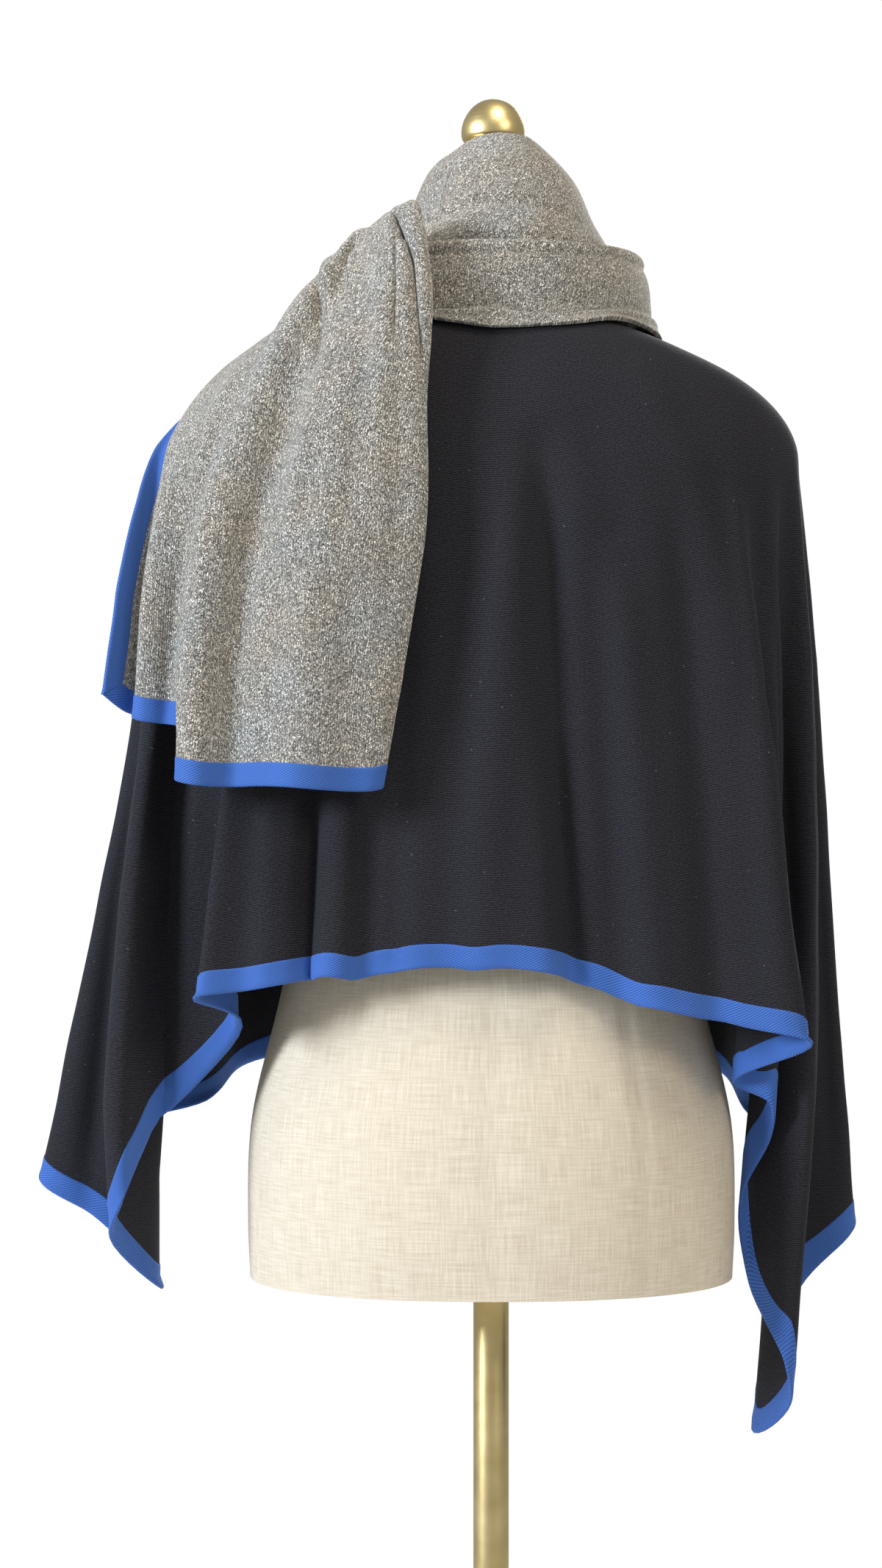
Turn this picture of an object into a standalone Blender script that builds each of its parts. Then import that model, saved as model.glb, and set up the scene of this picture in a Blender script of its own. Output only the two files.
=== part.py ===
"""A convertible wrap cape in navy knit with a grey shawl collar, worn on a limbless dress form.

Metres, +Z up. The origin is the middle of the base's underside. The back of the cape faces -Y and the
wearer's right is +X. Every stretch of cloth is a surface worked out from tables of folds and sections,
and its wall is laid half to each side of it. Angles go round from +X (0) over the front (90), the left
(180) and the back (270).
"""
import functools
import math

import bmesh
import bpy
from mathutils import Vector

CM = 0.01

# Cloth
KNIT_WALL = 0.0022            # fine gauge knit
TAPE_WALL = 0.0030            # the binding folds round the edge, so it stands a little proud
BAND_WALL = 0.0030            # the neck band is folded double
TAPE_WIDTH = 0.016
SEAM_GAP = 0.0006
REST_GAP = 0.0003             # cloth to what carries it
SEAT_LIFT = 0.0007            # the same over the curved yoke, whose faces are flat between points

# Yoke: the cape from its neck edge over the shoulders to the girth line, where it starts to hang
NECK_HALF = (0.088, 0.078)
GIRTH_HALF = (0.216, 0.125)
GIRTH_POWER = 2.6             # squarer than an ellipse, like shoulders
CREST_INSET = 0.985           # where the top of the shoulder turns down
# heights at the back, over the right arm and over the left arm
NECK_HEIGHTS = (1.447, 1.434, 1.440)
CREST_HEIGHTS = (1.425, 1.396, 1.400)
GIRTH_HEIGHTS = (1.300, 1.342, 1.342)
YOKE_ROWS = 7
FALL_ROWS = 7
FALL_POWER = 0.85             # folds open quickly below the shoulder
COLUMN_STEP = 0.021           # along the hem, between fold lines

# One row for each fold line, from the left front edge round the back to the right front edge.
# name, angle on the girth line, hem x, y and z in cm, belly of the line in cm
LEFT_FRONT = [
    ("left_edge", 91.4, -2.4, 15.0, 94.5, 0),
    ("left_flat", 99, -6.0, 14.6, 94.0, 0),
    ("left_ridge_a", 109, -10.0, 16.6, 93.0, 0),
    ("left_valley_a", 122, -13.6, 13.2, 91.8, 0),
    ("left_ridge_b", 134, -18.8, 16.0, 90.0, 0),
    ("left_valley_b", 146, -21.0, 11.0, 88.0, 0),
    ("left_ridge_c", 158, -27.6, 11.6, 86.0, 0),
    ("left_valley_c", 169, -27.0, 6.6, 84.6, 0),
]
LEFT_SIDE = [
    ("left_outer", 178, -32.2, 4.6, 83.5, 0),
    ("left_outer_near", 182, -32.0, 2.6, 82.8, 0),
    ("left_slope", 187, -28.0, 2.2, 80.4, 0.4),
    ("left_low", 194, -23.4, 1.8, 75.6, 0.4),
    ("left_flute", 202, -26.4, -4.8, 80.2, 2.2),
    ("left_flute_near", 208, -25.4, -6.9, 82.8, 2.0),
    ("left_flute_soft", 214, -23.4, -5.0, 87.4, 1.2),
    ("left_tuck", 222, -17.1, -6.8, 95.0, 0.4),
    ("left_corner", 231, -20.0, -12.2, 97.3, 0),
]
BACK = [
    ("back_a", 239, -16.7, -11.6, 97.8, 0),
    ("back_b", 246, -13.9, -12.1, 98.3, 0),
    ("back_c", 251, -11.7, -12.6, 98.8, 0),
    ("back_d", 257, -9.1, -11.4, 98.6, 0),
    ("back_e", 261, -6.7, -12.4, 99.2, 0),
    ("back_f", 268, -1.6, -11.8, 99.4, 0),
    ("back_g", 274, 3.0, -13.0, 99.2, 0),
    ("back_h", 278, 5.8, -12.3, 98.5, 0),
    ("back_i", 283, 8.5, -11.1, 97.2, 0),
    ("back_j", 290, 11.9, -12.2, 96.4, 0),
    ("back_k", 300, 16.1, -11.6, 95.5, 0),
]
RIGHT_SIDE = [
    ("right_corner", 312, 21.1, -12.2, 94.3, 0),
    ("right_tuck", 317, 16.9, -6.5, 91.6, 0.4),
    ("right_tuck_far", 321, 16.8, -4.6, 90.7, 0.4),
    ("right_curl", 325, 19.1, -5.4, 89.6, 0.6),
    ("right_curl_low", 328, 19.4, -4.0, 87.2, 0.6),
    ("right_slit", 332, 17.5, -1.9, 82.4, 0.6),
    ("right_slit_low", 336, 18.1, -0.8, 76.4, 0.8),
    ("right_flute", 341, 20.3, -4.1, 71.4, 1.7),
    ("right_flute_low", 345, 20.9, -2.4, 68.2, 1.6),
    ("right_low", 350, 18.8, 3.0, 65.2, 0.8),
    ("right_slope", 355, 22.0, 3.8, 75.2, 0.4),
    ("right_outer", 359, 25.5, 3.4, 79.4, 0),
    ("right_outer_far", 363, 25.4, 5.6, 80.4, 0),
]
RIGHT_FRONT = [
    ("right_valley_c", 371, 22.4, 7.8, 82.4, 0),
    ("right_ridge_c", 382, 24.4, 12.4, 84.6, 0),
    ("right_valley_b", 394, 19.4, 11.6, 87.0, 0),
    ("right_ridge_b", 406, 18.0, 16.2, 89.4, 0),
    ("right_valley_a", 418, 13.2, 13.4, 91.6, 0),
    ("right_ridge_a", 431, 9.8, 16.4, 93.0, 0),
    ("right_flat", 441, 6.0, 14.6, 94.0, 0),
    ("right_edge", 448.6, 2.4, 15.0, 94.5, 0),
]
FOLD_LINES = LEFT_FRONT + LEFT_SIDE + BACK + RIGHT_SIDE + RIGHT_FRONT
LEFT_SEAM = len(LEFT_FRONT) - 0.5                       # places along the lines, counted from 0
RIGHT_SEAM = len(FOLD_LINES) - len(RIGHT_FRONT) - 0.5
LAST_LINE = len(FOLD_LINES) - 1.0
HEM_STEP = 0.25               # fold lines over which the slope of the hem is read
STEEPEST_HEM = 0.35           # least sine of the angle between the hem and the fold lines
EDGE_REACH = 3.0              # fold lines over which the columns close up beside a tape or a seam

# Shawl collar, first turn: a funnel that leans in on the neck cap. One row for each ring.
# name, centre x, half width, half depth, height
FUNNEL_RINGS = [
    ("hidden", 0.004, 0.0925, 0.0860, 1.4700),
    ("foot", 0.006, 0.0800, 0.0835, 1.4860),
    ("neck", 0.006, 0.0655, 0.0700, 1.5100),
    ("dome", 0.0055, 0.0545, 0.0560, 1.5364),
    ("shoulder", 0.0035, 0.0425, 0.0440, 1.5536),
    ("peak", 0.003, 0.0262, 0.0275, 1.5700),
]
FUNNEL_SEAT = (0.0945, 0.0870)        # half width and depth where it rests on the cape
# how far up the rings the top edge reaches: angle, share of the way
FUNNEL_EDGE = [(0, 0.90), (50, 0.62), (90, 0.55), (130, 0.60), (180, 0.72), (215, 0.84), (240, 0.97),
               (270, 1.0), (320, 1.0), (360, 0.90)]
FUNNEL_COLUMNS = 26
FUNNEL_ROWS = 6

BAND_LIFT = 0.0018                    # its thick lower edge stands across the slope of the yoke

# Second turn: the neck band. name, half width, half depth, height at back, right, front and left
BAND_SEAT = (0.1180, 0.1035)
BAND_RINGS = [
    ("low", 0.1125, 0.1025, 1.4370, 1.4440, 1.4420, 1.4470),
    ("middle", 0.1100, 0.1020, 1.4600, 1.4660, 1.4560, 1.4660),
    ("top", 0.1040, 0.0985, 1.4815, 1.4845, 1.4740, 1.4800),
]
BAND_COLUMNS = 28

# Shawl tail, down the back on the left. One row for each section, in cm.
# name, left x, y, z, right x, y, z, bow, share of the fold depth
TAIL_SECTIONS = [
    ("inside", -8.3, -5.4, 148.3, -5.4, -7.8, 148.9, 0.0, 0.60),
    ("crest", -8.9, -7.2, 149.6, -5.2, -10.2, 150.6, 0.1, 0.65),
    ("nape", -10.2, -9.0, 146.8, -4.6, -12.0, 147.0, 0.2, 0.80),
    ("yoke", -12.8, -10.3, 142.6, -4.4, -13.4, 142.0, 0.2, 0.95),
    ("shoulder", -17.0, -11.6, 137.0, -4.7, -14.2, 137.0, 0.2, 1.0),
    ("blade", -19.3, -13.0, 129.6, -4.7, -14.8, 129.6, 0.2, 1.0),
    ("mid", -20.6, -13.8, 120.4, -5.8, -14.8, 121.6, 0.1, 1.0),
    ("hem", -20.8, -14.0, 111.5, -7.6, -14.6, 111.1, 0.0, 1.0),
]
# name, share of the way across, lift at the crest and at the hem in cm, rise of the hem in cm
TAIL_FOLDS = [
    ("left_return", 0.28, -0.75, -0.75, 0.0),
    ("left_edge", -0.01, -0.20, -0.25, 0.0),
    ("left_round", 0.09, 0.25, 0.55, 0.0),
    ("valley_a", 0.25, 0.05, 0.00, 0.0),
    ("ridge_a", 0.43, 0.45, 0.95, 0.0),
    ("valley_b", 0.60, 0.05, 0.05, 0.0),
    ("ridge_b", 0.74, 0.55, 0.70, 0.0),
    ("slit", 0.86, 0.00, 0.25, 0.0),
    ("right_round", 0.96, 0.40, 0.40, 0.0),
    ("right_edge", 1.01, -0.20, -0.25, 0.0),
    ("right_return", 0.74, -0.75, -0.75, 0.0),
]

# Shawl drape over the left shoulder, between its inner line under the tail and its bound outer edge
DRAPE_SECTIONS = [
    ("inside", -8.6, -4.4, 147.73, -9.4, 0.8, 147.73, 0.1, 0.25),
    ("crest", -9.5, -5.0, 148.53, -10.7, 1.0, 148.43, 0.2, 0.35),
    ("nape", -10.8, -6.4, 146.6, -12.0, 1.6, 146.4, 0.3, 0.5),
    ("slope", -12.6, -8.2, 143.8, -14.2, 2.4, 143.4, 0.5, 0.7),
    ("top", -15.0, -9.8, 139.8, -18.8, 2.6, 139.7, 1.2, 0.9),
    ("brow", -15.9, -10.4, 137.0, -21.6, 1.9, 137.3, 1.4, 1.0),
    ("edge", -16.6, -10.8, 133.8, -23.6, 0.6, 134.4, 1.5, 1.0),
    ("side", -17.6, -11.4, 127.6, -25.1, -2.4, 128.8, 1.2, 1.0),
    ("fall", -18.4, -11.9, 121.4, -25.8, -4.6, 121.4, 1.0, 1.0),
    ("hem", -18.8, -12.2, 115.2, -26.3, -5.8, 115.4, 0.9, 1.0),
]
DRAPE_FOLDS = [
    ("inner", 0.00, 0.0, 0.0, 0.0),
    ("inner_flat", 0.17, 0.0, 0.0, 0.0),
    ("ridge", 0.34, 0.25, 0.55, 0.1),
    ("valley", 0.48, 0.1, 0.0, 0.2),
    ("ridge_low", 0.62, 0.35, 0.7, 0.2),
    ("deep_valley", 0.77, 0.5, -0.45, 0.4),
    ("edge_round", 0.91, 0.0, 0.1, 0.9),
    ("edge", 1.00, 0.0, 0.3, 2.2),
]
SHEET_ROWS = 13

# Dress form. name, half width, half depth, height
TORSO_RINGS = [
    ("arm_plate", 0.1990, 0.1150, 1.3200),
    ("armpit", 0.1760, 0.1120, 1.2650),
    ("chest", 0.1600, 0.1120, 1.2000),
    ("rib", 0.1440, 0.1000, 1.1200),
    ("waist", 0.1330, 0.0920, 1.0500),
    ("high_hip", 0.1480, 0.1020, 0.9700),
    ("hip", 0.1690, 0.1140, 0.8800),
    ("seat", 0.1740, 0.1160, 0.8100),
    ("bottom", 0.1700, 0.1120, 0.7700),
]
TORSO_POWER = 2.25
TORSO_COLUMNS = 28
YOKE_SHARED_ROWS = 6                                    # rows of the yoke that the torso follows
NECK_TOP = 1.498
NECK_RINGS = [(0.0540, NECK_TOP), (0.0560, NECK_TOP - 0.002), (0.0565, 1.474), (0.0640, 1.4590)]

AXIS_X = 0.002                                         # the neck cap and finial, as the form stands
CAP_PROFILE = [(0.0, 1.5672), (0.0150, 1.5672), (0.0260, 1.5630), (0.0360, 1.5550), (0.0460, 1.5390),
               (0.0530, 1.5200), (0.0555, 1.5080), (0.0555, NECK_TOP + 0.0003), (0.0, NECK_TOP + 0.0003)]
FINIAL_PROFILE = [(0.0, 1.6000), (0.0080, 1.5985), (0.0150, 1.5945), (0.0190, 1.5900), (0.0180, 1.5884),
                  (0.0212, 1.5866), (0.0228, 1.5800), (0.0222, 1.5780), (0.0230, 1.5760),
                  (0.0218, 1.5715), (0.0170, 1.5680), (0.0150, 1.5675), (0.0, 1.5675)]
POLE_RADIUS = 0.0125
BASE_RADIUS = 0.190
BASE_HEIGHT = 0.016
HUB_RADIUS = 0.030
HUB_HEIGHT = 0.040


def start():
    """Empty the scene and make the collection that holds the garment and its form."""
    for old in list(bpy.data.objects):
        bpy.data.objects.remove(old, do_unlink=True)
    collection = bpy.data.collections.new("wrap_cape_on_dress_form")
    bpy.context.scene.collection.children.link(collection)
    return collection


def finish_of(name, colour, roughness, metallic=0.0):
    """A Principled material; the colour is linear RGB."""
    material = bpy.data.materials.new(name)
    material.use_nodes = True
    shader = material.node_tree.nodes["Principled BSDF"]
    shader.inputs["Base Color"].default_value = (*colour, 1.0)
    shader.inputs["Roughness"].default_value = roughness
    shader.inputs["Metallic"].default_value = metallic
    material.diffuse_color = (*colour, 1.0)
    return material


def through(points, place):
    """The point at a place along a centripetal Catmull-Rom curve through the points."""
    i = min(max(int(place), 0), len(points) - 2)
    f = place - i
    b, c = points[i], points[i + 1]
    a = points[i - 1] if i else b + (b - c)
    d = points[i + 2] if i + 2 < len(points) else c + (c - b)
    ta = 0.0
    tb = ta + max((b - a).length, 1e-6) ** 0.5
    tc = tb + max((c - b).length, 1e-6) ** 0.5
    td = tc + max((d - c).length, 1e-6) ** 0.5
    t = tb + (tc - tb) * f
    ab = a.lerp(b, (t - ta) / (tb - ta))
    bc = b.lerp(c, (t - tb) / (tc - tb))
    cd = c.lerp(d, (t - tc) / (td - tc))
    abc = ab.lerp(bc, (t - ta) / (tc - ta))
    bcd = bc.lerp(cd, (t - tb) / (td - tb))
    return abc.lerp(bcd, (t - tb) / (tc - tb))


def wall(name, grid, thickness, material, collection, closed=False):
    """A sheet's closed wall: its grid holds (point, normal) pairs, in rows from top to bottom.

    Neighbours share their normals along a seam, which Solidify would not give them, so the wall is
    lofted here: one face half the thickness out, the other half in, and a rim round the free edges.
    Every rim is split from its higher end, so that two rims facing each other at a seam never cross.
    """
    bm = bmesh.new()
    out, back = [[[bm.verts.new(p + n * (side * thickness / 2)) for p, n in row] for row in grid]
                 for side in (1, -1)]
    rows, columns = len(grid), len(grid[0])
    spans = [(c, (c + 1) % columns) for c in range(columns if closed else columns - 1)]
    for r in range(rows - 1):
        for c, d in spans:
            bm.faces.new((out[r][c], out[r][d], out[r + 1][d], out[r + 1][c]))
            bm.faces.new((back[r][c], back[r + 1][c], back[r + 1][d], back[r][d]))
    rim = [((r, c), (r, d)) for r in (0, rows - 1) for c, d in spans]
    if not closed:
        rim += [((r, c), (r + 1, c)) for c in (0, columns - 1) for r in range(rows - 1)]
    for (ra, ca), (rb, cb) in rim:
        if out[ra][ca].co.z < out[rb][cb].co.z:
            ra, ca, rb, cb = rb, cb, ra, ca
        bm.faces.new((out[ra][ca], out[rb][cb], back[rb][cb]))
        bm.faces.new((out[ra][ca], back[rb][cb], back[ra][ca]))
    bmesh.ops.recalc_face_normals(bm, faces=bm.faces)
    mesh = bpy.data.meshes.new(name)
    bm.to_mesh(mesh)
    bm.free()
    mesh.shade_smooth()
    mesh.set_sharp_from_angle(angle=math.radians(60))
    obj = bpy.data.objects.new(name, mesh)
    collection.objects.link(obj)
    obj.data.materials.append(material)
    return obj


def surface(point, s, t, s_range, t_range, s_step, t_step):
    """A point of a surface with its normal, from small steps along both parameters."""
    s_low, s_high = max(s - s_step, s_range[0]), min(s + s_step, s_range[1])
    t_low, t_high = max(t - t_step, t_range[0]), min(t + t_step, t_range[1])
    along = point(s_high, t) - point(s_low, t)
    down = point(s, t_high) - point(s, t_low)
    return point(s, t), along.cross(down).normalized()


def loft(name, rings, material, collection):
    """A closed solid through rings of points, top ring first, with a flat cap at each end."""
    bm = bmesh.new()
    loops = [[bm.verts.new(p) for p in ring] for ring in rings]
    count = len(rings[0])
    for upper, lower in zip(loops, loops[1:]):
        for c in range(count):
            d = (c + 1) % count
            bm.faces.new((upper[c], lower[c], lower[d], upper[d]))
    bm.faces.new(loops[0])
    bm.faces.new(list(reversed(loops[-1])))
    bmesh.ops.recalc_face_normals(bm, faces=bm.faces)
    bmesh.ops.triangulate(bm, faces=[f for f in bm.faces if len(f.verts) > 4])
    mesh = bpy.data.meshes.new(name)
    bm.to_mesh(mesh)
    bm.free()
    mesh.shade_smooth()
    mesh.set_sharp_from_angle(angle=math.radians(50))
    obj = bpy.data.objects.new(name, mesh)
    collection.objects.link(obj)
    obj.data.materials.append(material)
    return obj


def turned(name, profile, centre_x, steps, material, collection):
    """A profile of radius and height, top to bottom, turned about the axis of the form."""
    mesh = bpy.data.meshes.new(name)
    edges = [(i, i + 1) for i in range(len(profile) - 1)]
    mesh.from_pydata([(r, 0.0, z) for r, z in profile], edges, [])
    obj = bpy.data.objects.new(name, mesh)
    obj.location.x = centre_x
    collection.objects.link(obj)
    obj.data.materials.append(material)
    screw = obj.modifiers.new("Turn", "SCREW")
    screw.steps = screw.render_steps = steps
    screw.use_merge_vertices = True
    screw.merge_threshold = 0.0001
    screw.use_smooth_shade = True
    return obj


# ---------------------------------------------------------------- the cape

def squircle(degrees, half, power):
    """A point on a superellipse, in plan."""
    c, s = math.cos(math.radians(degrees)), math.sin(math.radians(degrees))
    x = math.copysign(abs(c) ** (2 / power), c) * half[0]
    y = math.copysign(abs(s) ** (2 / power), s) * half[1]
    return x, y


def yoke_point(degrees, share):
    """A point on the cape between its neck edge (0) and its girth line (1)."""
    side = math.cos(math.radians(degrees))
    arm = 1 if side > 0 else 2
    neck_z, crest_z, girth_z = [
        heights[0] + (heights[arm] - heights[0]) * abs(side) ** power
        for heights, power in ((NECK_HEIGHTS, 1.5), (CREST_HEIGHTS, 2), (GIRTH_HEIGHTS, 2))]
    neck = Vector((*squircle(degrees, NECK_HALF, 2.0), neck_z))
    girth = Vector((*squircle(degrees, GIRTH_HALF, GIRTH_POWER), 0.0))
    crest = girth * CREST_INSET
    girth.z, crest.z = girth_z, crest_z
    return neck * (1 - share) ** 2 + crest * 2 * share * (1 - share) + girth * share ** 2


def yoke_normal(degrees, share):
    """The outward normal of the yoke."""
    step = 0.02
    low, high = max(share - step, 0.0), min(share + step, 1.0)
    down = yoke_point(degrees, high) - yoke_point(degrees, low)
    along = yoke_point(degrees + 1.0, share) - yoke_point(degrees - 1.0, share)
    normal = down.cross(along).normalized()
    outward = Vector((math.cos(math.radians(degrees)), math.sin(math.radians(degrees)), 1.0))
    return normal if normal.dot(outward) > 0 else -normal


def yoke_seat(degrees, half, lift):
    """A point over the yoke, at a ring of the given half sizes in plan, lifted along the normal."""
    x, y = squircle(degrees, half, 2.0)
    low, high = 0.0, 1.0
    for _ in range(24):
        share = (low + high) / 2
        point = yoke_point(degrees, share)
        if math.hypot(point.x, point.y) < math.hypot(x, y):
            low = share
        else:
            high = share
    return yoke_point(degrees, share) + yoke_normal(degrees, share) * lift


def line_point(line, t):
    """A point on one fold line: 0 to 1 down the yoke, 1 to 2 down the fall."""
    _, degrees, x, y, z, belly = line
    if t <= 1.0:
        return yoke_point(degrees, t)
    top = yoke_point(degrees, 1.0)
    hem = Vector((x, y, z)) * CM
    fall = t - 1.0
    spread = fall ** FALL_POWER
    out = Vector((hem.x, hem.y, 0.0)).normalized() * (belly * CM * 4 * fall * (1 - fall))
    return Vector((top.x + (hem.x - top.x) * spread, top.y + (hem.y - top.y) * spread,
                   top.z + (hem.z - top.z) * fall)) + out


def cape_point(s, t):
    """A point on the cape at place s along the fold lines."""
    first = min(max(int(s), 0), len(FOLD_LINES) - 2)
    near = range(max(first - 1, 0), min(first + 3, len(FOLD_LINES)))
    return through([line_point(FOLD_LINES[i], t) for i in near], s - near[0])


def inset(point, start, sign, width):
    """The parameter where the distance from the start, along one parameter, reaches the width."""
    low, high = 0.0, 3.0
    origin = point(start)
    for _ in range(24):
        middle = (low + high) / 2
        if (point(start + sign * middle) - origin).length < width:
            low = middle
        else:
            high = middle
    return start + sign * low


@functools.lru_cache(maxsize=None)
def hem_sine(s):
    """The sine of the angle between the hem and the fold line at a place."""
    low, high = max(s - HEM_STEP, 0.0), min(s + HEM_STEP, LAST_LINE)
    along = (cape_point(high, 2.0) - cape_point(low, 2.0)).normalized()
    down = (cape_point(s, 2.0) - cape_point(s, 1.95)).normalized()
    return max(along.cross(down).length, STEEPEST_HEM)


@functools.lru_cache(maxsize=None)
def tape_top(s, gap):
    """How far down the fall the hem tape starts, or with a gap the knit ends, for an even tape."""
    steepest = min(hem_sine(min(max(s + d, 0.0), LAST_LINE)) for d in (-0.6, -0.3, 0.0, 0.3, 0.6))
    return inset(lambda t: cape_point(s, t), 2.0, -1, TAPE_WIDTH / hem_sine(s) + gap / steepest)


def places(first, last):
    """Places along the fold lines, closer where the hem is longer."""
    found = [first]
    for i in range(len(FOLD_LINES) - 1):
        length = (line_point(FOLD_LINES[i + 1], 2.0) - line_point(FOLD_LINES[i], 2.0)).length
        count = max(2, round(length / COLUMN_STEP))
        for k in range(count):
            s = i + k / count
            if first + 0.15 < s < last - 0.15:
                found.append(s)
    return found + [last]


def levels():
    """The rows of a panel: shares of the yoke, then of the fall."""
    rows = [(r / YOKE_ROWS, 0.0) for r in range(YOKE_ROWS + 1)]
    return rows + [(1.0, (r + 1) / FALL_ROWS) for r in range(FALL_ROWS)]


def moved_in(s, t, first, last, gap_first, gap_last):
    """A place on a panel, with its ends moved in by a gap and the columns near them squeezed."""
    for end, sign, gap in ((first, 1, gap_first), (last, -1, gap_last)):
        away = (s - end) * sign
        if away < EDGE_REACH:
            moved = (inset(lambda q: cape_point(q, t), end, sign, gap) - end) * sign
            return end + sign * (moved + away * (EDGE_REACH - moved) / EDGE_REACH)
    return s


def cape_surface(s, t):
    """A point of the cape with its normal."""
    return surface(cape_point, s, t, (0.0, LAST_LINE), (0.0, 2.0), 0.12, 0.04)


def cape_panel(name, first, last, material, collection, taped_left=False, taped_right=False):
    """A panel of the cape between two places along the fold lines, above the hem tape."""
    gap_first = TAPE_WIDTH + SEAM_GAP if taped_left else SEAM_GAP / 2
    gap_last = TAPE_WIDTH + SEAM_GAP if taped_right else SEAM_GAP / 2
    grid = []
    for yoke, fall in levels():
        row = []
        for s in places(first, last):
            t = yoke if fall == 0.0 else 1.0 + fall * (tape_top(s, SEAM_GAP) - 1.0)
            row.append(cape_surface(moved_in(s, t, first, last, gap_first, gap_last), t))
        grid.append(row)
    return wall(name, grid, KNIT_WALL, material, collection)


def cape_tape(material, collection):
    """One tape down the left front edge, round the hem and up the right front edge."""
    outer, inner = [], []
    left, right = [], []
    for yoke, fall in levels()[:-1]:
        for edge, side in ((0.0, left), (LAST_LINE, right)):
            t = yoke if fall == 0.0 else 1.0 + fall * (tape_top(edge, SEAM_GAP) - 1.0)
            s = moved_in(edge, t, 0.0, LAST_LINE, TAPE_WIDTH, TAPE_WIDTH)
            side.append((cape_surface(edge, t), cape_surface(s, t)))
    for s in places(0.0, LAST_LINE):
        at = moved_in(s, tape_top(s, 0.0), 0.0, LAST_LINE, TAPE_WIDTH, TAPE_WIDTH)
        outer.append(cape_surface(s, 2.0))
        inner.append(cape_surface(at, tape_top(s, 0.0)))
    outer = [p for p, _ in left] + outer + [p for p, _ in reversed(right)]
    inner = [q for _, q in left] + inner + [q for _, q in reversed(right)]
    return wall("cape_binding", [inner, outer], TAPE_WALL, material, collection)


# ---------------------------------------------------------------- the shawl collar

def by_angle(table, degrees):
    """A value read from a table of angle and value, joined smoothly."""
    degrees %= 360
    for (a, va), (b, vb) in zip(table, table[1:]):
        if a <= degrees <= b:
            f = (degrees - a) / (b - a)
            return va + (vb - va) * f * f * (3 - 2 * f)
    return table[-1][1]


def ring_wall(name, line_at, count, rows, thickness, material, collection):
    """A closed ring of cloth. line_at(degrees) gives a line's points and how far up them it goes."""
    @functools.lru_cache(maxsize=None)
    def line(degrees):
        return line_at(degrees)

    def point(degrees, share):
        points, reach = line(degrees)
        return through(points, reach * share)

    grid = []
    for r in range(rows + 1):
        share = 1.0 - r / rows
        angles = [360 * c / count for c in range(count)]
        grid.append([surface(point, a, share, (-1e3, 1e3), (0.0, 1.0), 4.0, 0.03) for a in angles])
    return wall(name, grid, thickness, material, collection, closed=True)


def funnel_line(degrees):
    """One line of the first turn of the shawl, from its seat on the cape up to the finial."""
    points = [yoke_seat(degrees, FUNNEL_SEAT, KNIT_WALL + REST_GAP)]
    for _, x, wide, deep, z in FUNNEL_RINGS:
        px, py = squircle(degrees, (wide, deep), 2.0)
        points.append(Vector((x + px, py, z)))
    return points, by_angle(FUNNEL_EDGE, degrees) * (len(points) - 1)


def band_line(degrees):
    """One line of the second turn, the folded band round the foot of the neck."""
    points = [yoke_seat(degrees, BAND_SEAT, (KNIT_WALL + BAND_WALL) / 2 + BAND_LIFT)]
    for _, wide, deep, back, right, front, left in BAND_RINGS:
        x, y = squircle(degrees, (wide, deep), 2.0)
        heights = [(0, right), (90, front), (180, left), (270, back), (360, right)]
        points.append(Vector((x, y, by_angle(heights, degrees))))
    return points, len(points) - 1


@functools.lru_cache(maxsize=None)
def section_frame(sheet, down):
    """The two ends, the outward normal, the bow and the fold share of a sheet's section."""
    sections, _, side = SHEETS[sheet]
    place = down * (len(sections) - 1)

    def read(first, q):
        return through([Vector(row[first:first + 3]) * CM for row in sections], q)

    left, right = read(1, place), read(4, place)
    low, high = max(place - 0.1, 0.0), min(place + 0.1, len(sections) - 1.0)
    drop = read(1, high) + read(4, high) - read(1, low) - read(4, low)
    normal = drop.cross(right - left).normalized() * side
    i = min(int(place), len(sections) - 2)
    f = place - i
    bow = sections[i][7] + (sections[i + 1][7] - sections[i][7]) * f
    share = sections[i][8] + (sections[i + 1][8] - sections[i][8]) * f
    return left, right, normal, bow, share


@functools.lru_cache(maxsize=None)
def sheet_line(sheet, down):
    """The points of a sheet's folds across one section."""
    left, right, normal, bow, share = section_frame(sheet, down)
    blend = min(max((down - 0.15) / 0.6, 0.0), 1.0)
    line = []
    for _, across, crest, hem, rise in SHEETS[sheet][1]:
        lift = (crest + (hem - crest) * blend) * share + bow * 4 * across * (1 - across)
        point = left.lerp(right, across) + normal * (lift * CM)
        line.append(point + Vector((0.0, 0.0, rise * CM * down ** 4)))
    return line


# each sheet's sections and folds, and 1 or -1 as its sections run right or left seen from outside
SHEETS = {"shawl_tail": (TAIL_SECTIONS, TAIL_FOLDS, 1), "shawl_drape": (DRAPE_SECTIONS, DRAPE_FOLDS, -1)}


def sheet_surface(sheet, s, down):
    """A point of the tail or the drape with its normal, at place s along its folds."""
    end = len(SHEETS[sheet][1]) - 1.0
    return surface(lambda q, d: through(sheet_line(sheet, d), q), s, down, (0.0, end), (0.0, 1.0), 0.1, 0.01)


def tape_start(sheet, s, width):
    """How far down a sheet its hem tape starts."""
    return inset(lambda q: through(sheet_line(sheet, q), s), 1.0, -1, width)


def beside_tape(sheet, s, down, width):
    """A place across a sheet whose last side has a tape: its columns are squeezed to make room."""
    end = len(SHEETS[sheet][1]) - 1.0
    line = sheet_line(sheet, down)
    return s * inset(lambda q: through(line, q), end, -1, width) / end


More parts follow.
